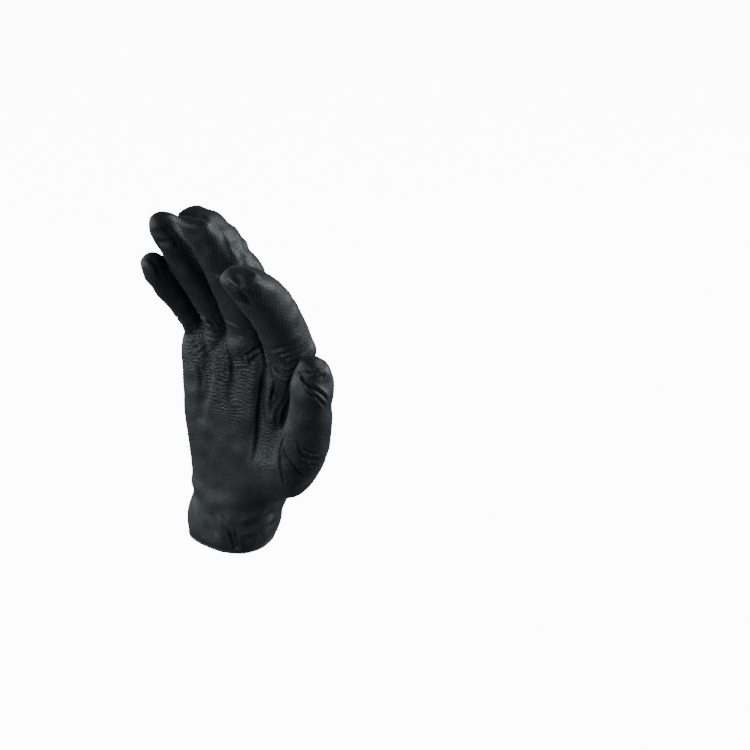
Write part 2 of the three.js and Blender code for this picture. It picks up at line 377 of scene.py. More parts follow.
def reworked(surface: Surface, kind: str, settings: dict[str, float | str | bool]) -> Surface:
    """Passes a surface through one mesh modifier.

    Args:
        surface: the surface to change, which stays as it is.
        kind: Blender's name of the modifier.
        settings: the modifier's values by name.

    Returns:
        The changed surface.
    """
    mesh = surface.mesh("passing")
    shape = bpy.data.objects.new("passing", mesh)
    bpy.context.scene.collection.objects.link(shape)
    modifier = shape.modifiers.new(kind.title(), kind)
    for key, value in settings.items():
        setattr(modifier, key, value)
    shown = shape.evaluated_get(bpy.context.evaluated_depsgraph_get())
    result = Surface.read(shown.to_mesh())
    shown.to_mesh_clear()
    bpy.data.objects.remove(shape)
    bpy.data.meshes.remove(mesh)
    return result


# The worn form of the film


@dataclass(frozen=True)
class PalmForm:
    """Cuff, wrist and palm: superellipse sections stacked along Z."""

    cuff_height: float = 31.0
    cuff_half_width: float = 29.8
    cuff_half_depth: float = 23.5
    wrist_half_width: float = 28.8
    wrist_half_depth: float = 21.5
    wrist_x: float = 4.3
    wrist_y: float = 3.8
    palm_length: float = 113.0
    palm_half_width: float = 42.0
    palm_half_depth: float = 17.5
    cup: float = 4.0
    tilt: float = 3.0
    squareness: float = 2.5
    valley_depth: float = 4.0
    valley_reach: float = 6.0
    crowding: float = 0.3
    skirt: float = 8.0
    cuff_shares: Table = Table(
        ("up", "shift", "width", "depth"),
        (
            (0.0, 0.0, 0.875, 0.91),
            (0.16, 0.12, 0.97, 0.96),
            (0.45, 0.36, 1.025, 0.965),
            (0.75, 0.7, 1.0, 0.93),
        ),
    )
    palm_shares: Table = Table(
        ("up", "side", "width", "drop", "depth"),
        (
            (0.09, 0.055, 0.765, 0.0, 1.16),
            (0.215, 0.11, 0.845, 0.0, 1.08),
            (0.4, 0.182, 0.91, 0.0, 1.02),
            (0.575, 0.23, 0.955, 0.02, 0.96),
            (0.745, 0.253, 0.98, 0.05, 0.87),
            (0.86, 0.255, 0.975, 0.06, 0.76),
            (0.93, 0.24, 0.91, 0.05, 0.6),
            (0.975, 0.235, 0.77, 0.03, 0.4),
            (1.0, 0.23, 0.56, 0.0, 0.2),
        ),
    )
    valleys: Table = Table(
        ("low", "high", "x_low", "x_high", "depth", "reach"),
        (
            (0.22, 0.93, 0.7, 0.8, 1.0, 0.95),
            (0.62, 0.99, 0.27, 0.37, 0.55, 0.9),
            (0.45, 0.92, -0.27, -0.1, 0.4, 1.0),
            (0.6, 0.83, 0.95, 1.05, 0.5, 0.8),
            (-0.25, -0.12, 0.32, 0.24, 0.4, 0.8),
        ),
    )

    @property
    def top(self) -> float:
        """Height of the last section, at the roots of the fingers."""
        return self.cuff_height + self.palm_length

    def sections(self) -> Table:
        """Works the sections out from the shares and the named sizes.

        Returns:
            Height, centre and half sizes of every section.
        """
        cuff = [
            (
                up * self.cuff_height, shift * self.wrist_x, shift * self.wrist_y,
                width * self.cuff_half_width, depth * self.cuff_half_depth,
            )
            for up, shift, width, depth in self.cuff_shares.rows
        ]
        wrist = [(
            self.cuff_height, self.wrist_x, self.wrist_y,
            self.wrist_half_width, self.wrist_half_depth,
        )]
        palm = [
            (
                self.cuff_height + up * self.palm_length,
                self.wrist_x + side * self.palm_half_width,
                self.wrist_y - drop * self.palm_half_depth,
                width * self.palm_half_width, depth * self.palm_half_depth,
            )
            for up, side, width, drop, depth in self.palm_shares.rows
        ]
        return Table(("z", "x", "y", "width", "depth"), tuple(cuff + wrist + palm))

    def valley(self, x: Array, height: Array) -> Array:
        """Depth of the broad valleys on the palm side.

        Across a valley the depth is a raised cosine, along it the root of a half sine.

        Args:
            x: places across the palm.
            height: heights of the same places.

        Returns:
            The depths.
        """
        total = np.zeros_like(x)
        up = (height - self.cuff_height) / self.palm_length
        for low, high, x_low, x_high, depth, reach in self.valleys.rows:
            share = np.clip((up - low) / (high - low), 0, 1)
            line = self.wrist_x + (x_low + (x_high - x_low) * share) * self.palm_half_width
            away = np.minimum(np.abs(x - line) / (reach * self.valley_reach), 1)
            across = (1 + np.cos(np.pi * away)) / 2
            total += depth * self.valley_depth * across * np.sqrt(np.sin(np.pi * share))
        return total

    def points(self, height: Array, turn: Array) -> Array:
        """Points on the outside.

        A point lies at the section's centre plus its half sizes times the superellipse's
        coordinates, lifted by the palm's tilt and cup and pushed in by the valleys.

        Args:
            height: heights of the rings, below 0 for the skirt that is cut off at the rim.
            turn: turns round the section, from +X over the back.

        Returns:
            Points as heights x turns x 3.
        """
        sections = self.sections()
        at = np.maximum(height, 0)[:, None]
        centre_x, centre_y, width, depth = (
            sections.at(name, at) for name in ("x", "y", "width", "depth")
        )
        angle = (turn - self.crowding * np.cos(turn))[None, :]
        across = rounded(np.cos(angle), self.squareness)
        out = rounded(np.sin(angle), self.squareness)
        x = centre_x + width * across
        shaping = smooth_step(at, self.cuff_height, self.cuff_height + self.palm_length / 2)
        valley = np.where(out < 0, self.valley(x, np.broadcast_to(at, x.shape)), 0)
        y = centre_y + depth * out + shaping * (self.tilt * across - self.cup * across**2) + valley
        return np.stack([x, y, np.broadcast_to(height[:, None], x.shape)], axis=-1)

    def surface(self, rings: int, sides: int) -> Surface:
        """Closed outside of the cuff and palm, with the skirt below the rim.

        Args:
            rings: number of rings from the skirt to the top.
            sides: number of points round each.

        Returns:
            The surface.
        """
        heights = np.linspace(-self.skirt, self.top, rings)
        return Surface.lofted(self.points(heights, np.linspace(0, FULL_TURN, sides, False)))


FINGER_PROFILE = Table(
    ("along", "width", "depth", "drop"),
    (
        (0.0, 0.9, 0.86, -0.04),
        (0.2, 0.99, 1.05, -0.06),
        (0.28, 0.98, 0.99, -0.03),
        (0.38, 1.0, 1.01, 0.0),
        (0.6, 1.0, 1.0, 0.0),
        (0.78, 0.99, 0.95, 0.02),
        (0.88, 0.95, 0.86, 0.07),
        (0.95, 0.83, 0.69, 0.12),
        (0.985, 0.61, 0.47, 0.15),
        (1.0, 0.3, 0.24, 0.17),
    ),
)
MIDDLE_PROFILE = Table(
    FINGER_PROFILE.columns,
    (
        (0.0, 0.9, 0.86, -0.04),
        (0.2, 0.99, 1.05, -0.06),
        (0.28, 0.98, 0.99, -0.03),
        (0.38, 1.0, 1.01, 0.0),
        (0.6, 1.0, 1.0, 0.0),
        (0.78, 1.0, 0.96, 0.02),
        (0.88, 0.99, 0.89, 0.07),
        (0.95, 0.94, 0.76, 0.12),
        (0.985, 0.83, 0.61, 0.15),
        (1.0, 0.6, 0.42, 0.17),
    ),
)
INDEX_PROFILE = Table(
    FINGER_PROFILE.columns,
    (
        (0.0, 0.6, 0.76, 0.06),
        (0.14, 0.72, 0.93, 0.02),
        (0.28, 0.94, 1.02, 0.0),
        (0.4, 1.0, 1.0, 0.0),
        (0.62, 1.0, 0.99, 0.01),
        (0.77, 1.0, 0.92, 0.08),
        (0.875, 0.96, 0.78, 0.21),
        (0.95, 0.84, 0.6, 0.33),
        (0.985, 0.6, 0.42, 0.41),
        (1.0, 0.3, 0.2, 0.44),
    ),
)
THUMB_PROFILE = Table(
    FINGER_PROFILE.columns,
    (
        (0.0, 1.0, 1.0, 0.0),
        (0.08, 1.16, 1.14, 0.0),
        (0.2, 1.25, 1.22, 0.0),
        (0.34, 1.3, 1.25, 0.0),
        (0.51, 1.17, 1.11, 0.0),
        (0.68, 1.01, 1.0, 0.0),
        (0.77, 0.96, 0.95, 0.0),
        (0.84, 1.0, 0.98, 0.0),
        (0.91, 0.93, 0.88, 0.0),
        (0.955, 0.76, 0.72, 0.0),
        (0.985, 0.52, 0.48, 0.0),
        (1.0, 0.22, 0.2, 0.0),
    ),
)
WEB_PROFILE = Table(
    FINGER_PROFILE.columns,
    (
        (0.0, 0.7, 0.8, 0.0),
        (0.3, 1.0, 1.0, 0.0),
        (0.6, 1.0, 0.96, 0.0),
        (0.8, 0.92, 0.8, 0.0),
        (0.93, 0.68, 0.56, 0.0),
        (1.0, 0.3, 0.24, 0.0),
    ),
)


@dataclass(frozen=True)
class DigitForm:
    """Stall of one finger, of the thumb or of its web: ellipse sections along a bent line.

    side, back and up place the root from the wrist in shares of the palm's sizes. curl is the
    angle toward the palm and lean the angle toward the little finger, in degrees, at the root,
    past the knuckle and at the tip. bend is where the knuckle starts and ends along the line.
    """

    name: str
    side: float
    up: float
    back: float
    length: float
    half_width: float
    half_depth: float
    curl: Triple
    lean: Triple
    bend: tuple[float, float]
    profile: Table
    palm: PalmForm = PalmForm()
    squareness: float = 2.15
    steps: int = 60
    crowding: float = 0.62

    def line(self) -> tuple[Array, Array]:
        """Centre line, as the running sum of steps along the pose's directions.

        Returns:
            Points and unit directions at even steps from root to tip.
        """
        pose = Table(
            ("along", "curl", "lean"),
            (
                (0.0, self.curl[0], self.lean[0]),
                (self.bend[0], self.curl[0], self.lean[0]),
                (self.bend[1], self.curl[1], self.lean[1]),
                (1.0, self.curl[2], self.lean[2]),
            ),
        )
        along = np.linspace(0, 1, self.steps + 1)
        curl = np.radians(pose.at("curl", along))
        lean = np.radians(pose.at("lean", along))
        directions = np.stack(
            [-np.sin(lean) * np.cos(curl), -np.sin(curl), np.cos(lean) * np.cos(curl)], axis=-1
        )
        root = np.array([
            self.palm.wrist_x + self.side * self.palm.palm_half_width,
            self.palm.wrist_y + self.back * self.palm.palm_half_depth,
            self.palm.cuff_height + self.up * self.palm.palm_length,
        ])
        moves = unit(directions[:-1] + directions[1:]) * self.length / self.steps
        points = np.concatenate([root[None], root + np.cumsum(moves, axis=0)])
        return points, directions

    def points(self, along: Array, turn: Array) -> Array:
        """Points on the outside.

        A point lies on the centre line, plus the superellipse's coordinates times the half
        width across and the half depth to the back, less the drop toward the palm side.

        Args:
            along: shares of the length.
            turn: turns round the section.

        Returns:
            Points as shares x turns x 3.
        """
        line, directions = self.line()
        place = np.clip(along * self.steps, 0, self.steps)
        step = np.minimum(place.astype(int), self.steps - 1)
        part = (place - step)[:, None]
        centre = line[step] * (1 - part) + line[step + 1] * part
        forward = unit(directions[step] * (1 - part) + directions[step + 1] * part)
        side = unit(np.array([1.0, 0.0, 0.0]) - forward[:, :1] * forward)
        back = np.cross(forward, side)
        width = self.profile.at("width", along) * self.half_width
        depth = self.profile.at("depth", along) * self.half_depth
        centre = centre - back * (self.profile.at("drop", along) * self.half_depth)[:, None]
        across = rounded(np.cos(turn), self.squareness)[None, :] * width[:, None]
        out = rounded(np.sin(turn), self.squareness)[None, :] * depth[:, None]
        return (
            centre[:, None]
            + across[:, :, None] * side[:, None]
            + out[:, :, None] * back[:, None]
        )

    def surface(self, rings: int, sides: int) -> Surface:
        """Closed outside of the stall, with its rings closer together toward the tip.

        The rings lie at t plus the crowding times t squared times 1 - t, for even shares t.

        Args:
            rings: number of rings from root to tip.
            sides: number of points round each.

        Returns:
            The surface.
        """
        even = np.linspace(0, 1, rings)
        along = even + self.crowding * even * (1 - even) * even
        return Surface.lofted(self.points(along, np.linspace(0, FULL_TURN, sides, False)))


DIGITS = (
    DigitForm(
        "little", -0.572, 0.697, -0.291, 86.5, 7.7, 9.4,
        (-1.0, 24.7, 31.4), (-4.6, 8.3, 13.8), (0.2, 0.42), FINGER_PROFILE,
    ),
    DigitForm(
        "ring", -0.111, 0.746, -0.24, 107.0, 8.7, 11.8,
        (-0.7, 20.0, 21.0), (-1.8, 16.3, 13.0), (0.2, 0.42), FINGER_PROFILE,
    ),
    DigitForm(
        "middle", 0.402, 0.755, -0.09, 110.5, 13.0, 14.1,
        (3.0, 15.5, 25.0), (-1.3, 7.7, 6.1), (0.2, 0.42), MIDDLE_PROFILE, squareness=2.35,
    ),
    DigitForm(
        "index", 1.03, 0.65, 0.08, 111.0, 13.4, 12.6,
        (9.4, 29.7, 42.1), (-3.7, -1.2, 1.7), (0.285, 0.48), INDEX_PROFILE, squareness=2.45,
    ),
    DigitForm(
        "thumb", 0.44, 0.08, 0.057, 120.0, 12.0, 12.4,
        (11.0, 4.0, 2.0), (-50.0, -22.6, -4.4), (0.25, 0.46), THUMB_PROFILE,
    ),
    DigitForm(
        "web", 0.56, 0.125, 0.0, 52.0, 14.0, 10.0,
        (6.0, 6.0, 6.0), (-28.0, -26.0, -22.0), (0.3, 0.7), WEB_PROFILE,
    ),
)


# Folds, dents and slack of the film


@dataclass(frozen=True)
class Fold:
    """Crease pressed into the film along a smooth line through a few points.

    depth is how far it goes in, width its half width, path a few places along it on or near
    the film, lip the height of the two ridges beside it in shares of the depth, and fade the
    share of the line over which each end runs out. fall is the power of the profile, lip_place and
    lip_spread where the ridges stand and how wide they are, both in half widths, and facing
    the range of agreement of two normals over which the fold stops at the film's other side.
    """

    name: str
    depth: float
    width: float
    path: tuple[Triple, ...]
    lip: float = 0.3
    fade: tuple[float, float] = (0.25, 0.25)
    samples: int = 48
    evening: int = 5
    fall: float = 1.6
    lip_place: float = 2.3
    lip_spread: float = 0.7
    facing: tuple[float, float] = (-0.1, 0.4)

    def line(self) -> tuple[Array, Array]:
        """Draws the line, by a cubic through the path's points.

        Returns:
            Points of the line, and the share of its length at each.
        """
        shares = np.linspace(0, 1, len(self.path))
        at = np.linspace(0, 1, self.samples)
        rows = tuple((share, *point) for share, point in zip(shares, self.path))
        table = Table(("share", "x", "y", "z"), rows)
        return np.stack([table.at(axis, at) for axis in "xyz"], axis=-1), at

    def press(self, points: Array, normals: Array) -> Array:
        """Depth of the fold at each point of the film.

        The line first moves to the nearest points of the film. Across it the depth falls as
        the exponential of minus the distance over the width to the power fall, less two bells
        for the lips. Along it the depth rises and runs out over the fades.

        Args:
            points: the film's points.
            normals: its outward directions.

        Returns:
            One depth for each point, below 0 on the lips.
        """
        line, at = self.line()
        reach = 4 * self.width + 4
        near = np.flatnonzero(
            ((points > line.min(axis=0) - reach) & (points < line.max(axis=0) + reach)).all(axis=1)
        )
        total = np.zeros(len(points))
        if not len(near):
            return total
        gaps = np.linalg.norm(points[near][:, None] - line[None], axis=-1)
        seat = near[gaps.argmin(axis=0)]
        seated = points[seat]
        for _ in range(self.evening):
            seated[1:-1] = (seated[:-2] + seated[1:-1] + seated[2:]) / 3
        gaps = np.linalg.norm(points[near][:, None] - seated[None], axis=-1)
        which = gaps.argmin(axis=1)
        away = gaps[np.arange(len(near)), which] / self.width
        share = at[which]
        run = smooth_step(share, -1e-6, max(self.fade[0], 1e-6))
        run = run * smooth_step(1 - share, -1e-6, max(self.fade[1], 1e-6))
        ridges = np.exp(-((away - self.lip_place) ** 2) / self.lip_spread)
        profile = np.exp(-(away**self.fall)) - self.lip * ridges
        facing = smooth_step((normals[near] * normals[seat][which]).sum(axis=1), *self.facing)
        total[near] = self.depth * profile * run * facing
        return total


@dataclass(frozen=True)
class Dent:
    """Broad hollow, or a swelling where depth is below 0, with the shape of a bell."""

    name: str
    depth: float
    centre: Triple
    reach: Triple

    def press(self, points: Array, normals: Array) -> Array:
        """Depth at each point: the exponential of minus the squared distance in reaches."""
        away = (points - np.array(self.centre)) / np.array(self.reach)
        return self.depth * np.exp(-(away**2).sum(axis=1))


@dataclass(frozen=True)
class Easing:
    """Place where a corner between two forms is spread out by many passes of relaxing.

    border is the range of the place's bell over which the easing sets in, and pace the share
    of the way to the neighbours' mean that a point moves in one pass.
    """

    name: str
    times: int
    centre: Triple
    reach: Triple
    border: tuple[float, float] = (0.15, 0.7)
    pace: float = 0.6

    def ease(self, skin: Surface) -> None:
        """Moves the place's points toward their neighbours' mean, less and less to its border.

        Args:
            skin: the surface, which is changed.
        """
        away = (skin.points - np.array(self.centre)) / np.array(self.reach)
        weight = smooth_step(np.exp(-(away**2).sum(axis=1)), *self.border)
        starts, ends = skin.edges()
        inside = weight[starts] > 0
        starts, ends = starts[inside], ends[inside]
        here, slot = np.unique(starts, return_inverse=True)
        count = np.bincount(slot)[:, None]
        share = self.pace * weight[here][:, None]
        for _ in range(self.times):
            around = skin.points[ends]
            total = np.stack([np.bincount(slot, around[:, axis]) for axis in range(3)], axis=-1)
            skin.points[here] += share * (total / count - skin.points[here])


@dataclass(frozen=True)
class Nudge:
    """Moves one place of the film along a fixed direction, and its surroundings less and less."""

    name: str
    move: Triple
    centre: Triple
    reach: Triple

    def shift(self, points: Array) -> Array:
        """Step of each point: the move times a bell of its distance in reaches."""
        away = (points - np.array(self.centre)) / np.array(self.reach)
        return np.exp(-(away**2).sum(axis=1))[:, None] * np.array(self.move)


@dataclass(frozen=True)
class Slack:
    """Seeded irregular waves of the film, all over or round one place.

    The waves are a sum of sines in random directions. Ridged waves keep only thin crests:
    crest is their height, their width and how far they are set down.
    """

    name: str
    height: float
    length: float
    seed: int
    centre: Triple | None = None
    reach: Triple = (1.0, 1.0, 1.0)
    stretch: Triple = (1.0, 1.0, 1.0)
    ridged: bool = False
    count: int = 22
    lengths: tuple[float, float] = (0.7, 1.4)
    crest: Triple = (1.2, 0.45, 0.45)

    def press(self, points: Array, normals: Array) -> Array:
        """Depth at each point of the film, both ways from 0.

        Args:
            points: the film's points.
            normals: its outward directions, which these waves don't need.

        Returns:
            One depth for each point.
        """
        random = np.random.default_rng(self.seed)
        directions = unit(random.normal(size=(self.count, 3))) * np.array(self.stretch)
        numbers = FULL_TURN / (self.length * random.uniform(*self.lengths, self.count))
        starts = random.uniform(0, FULL_TURN, self.count)
        waves = np.sin(points @ (directions * numbers[:, None]).T + starts)
        total = waves.sum(axis=1) * math.sqrt(2 / self.count)
        if self.ridged:
            high, wide, down = self.crest
            total = high * np.exp(-((total / wide) ** 2)) - down
        if self.centre is not None:
            away = (points - np.array(self.centre)) / np.array(self.reach)
            total = total * np.exp(-(away**2).sum(axis=1))
        return self.height * total


@dataclass(frozen=True)
class Ripples:
    """Patch of fine parallel waves that run across the palm side.

    drift and cover are the lengths, in pitches, of the slow waves that bend the ripples and
    that hide some of them. bend is how many radians they shift by, and hidden the mean of
    what is left and how far it varies.
    """

    name: str
    height: float
    pitch: float
    slant: float
    centre: Triple
    reach: Triple
    seed: int
    drift: float = 5.0
    bend: float = 1.6
    cover: float = 4.0
    hidden: tuple[float, float] = (0.65, 0.35)

    def window(self, points: Array) -> Array:
        """Bell round the centre, from 1 there to 0 far off."""
        away = (points - np.array(self.centre)) / np.array(self.reach)
        return np.exp(-(away**2).sum(axis=1))

    def press(self, points: Array, normals: Array) -> Array:
        """Depth at each point: a sine along the slant, bent by slow waves, in a bell.

        Args:
            points: the film's points.
            normals: its outward directions.

        Returns:
            One depth for each point.
        """
        lean = math.radians(self.slant)
        along = points[:, 2] * math.cos(lean) + points[:, 0] * math.sin(lean)
        drift = Slack("drift", 1.0, self.drift * self.pitch, self.seed).press(points, normals)
        slow = Slack("cover", 1.0, self.cover * self.pitch, self.seed + 1).press(points, normals)
        window = self.window(points) * np.clip(self.hidden[0] + self.hidden[1] * slow, 0, 1)
        return self.height * np.sin(FULL_TURN * along / self.pitch + self.bend * drift) * window


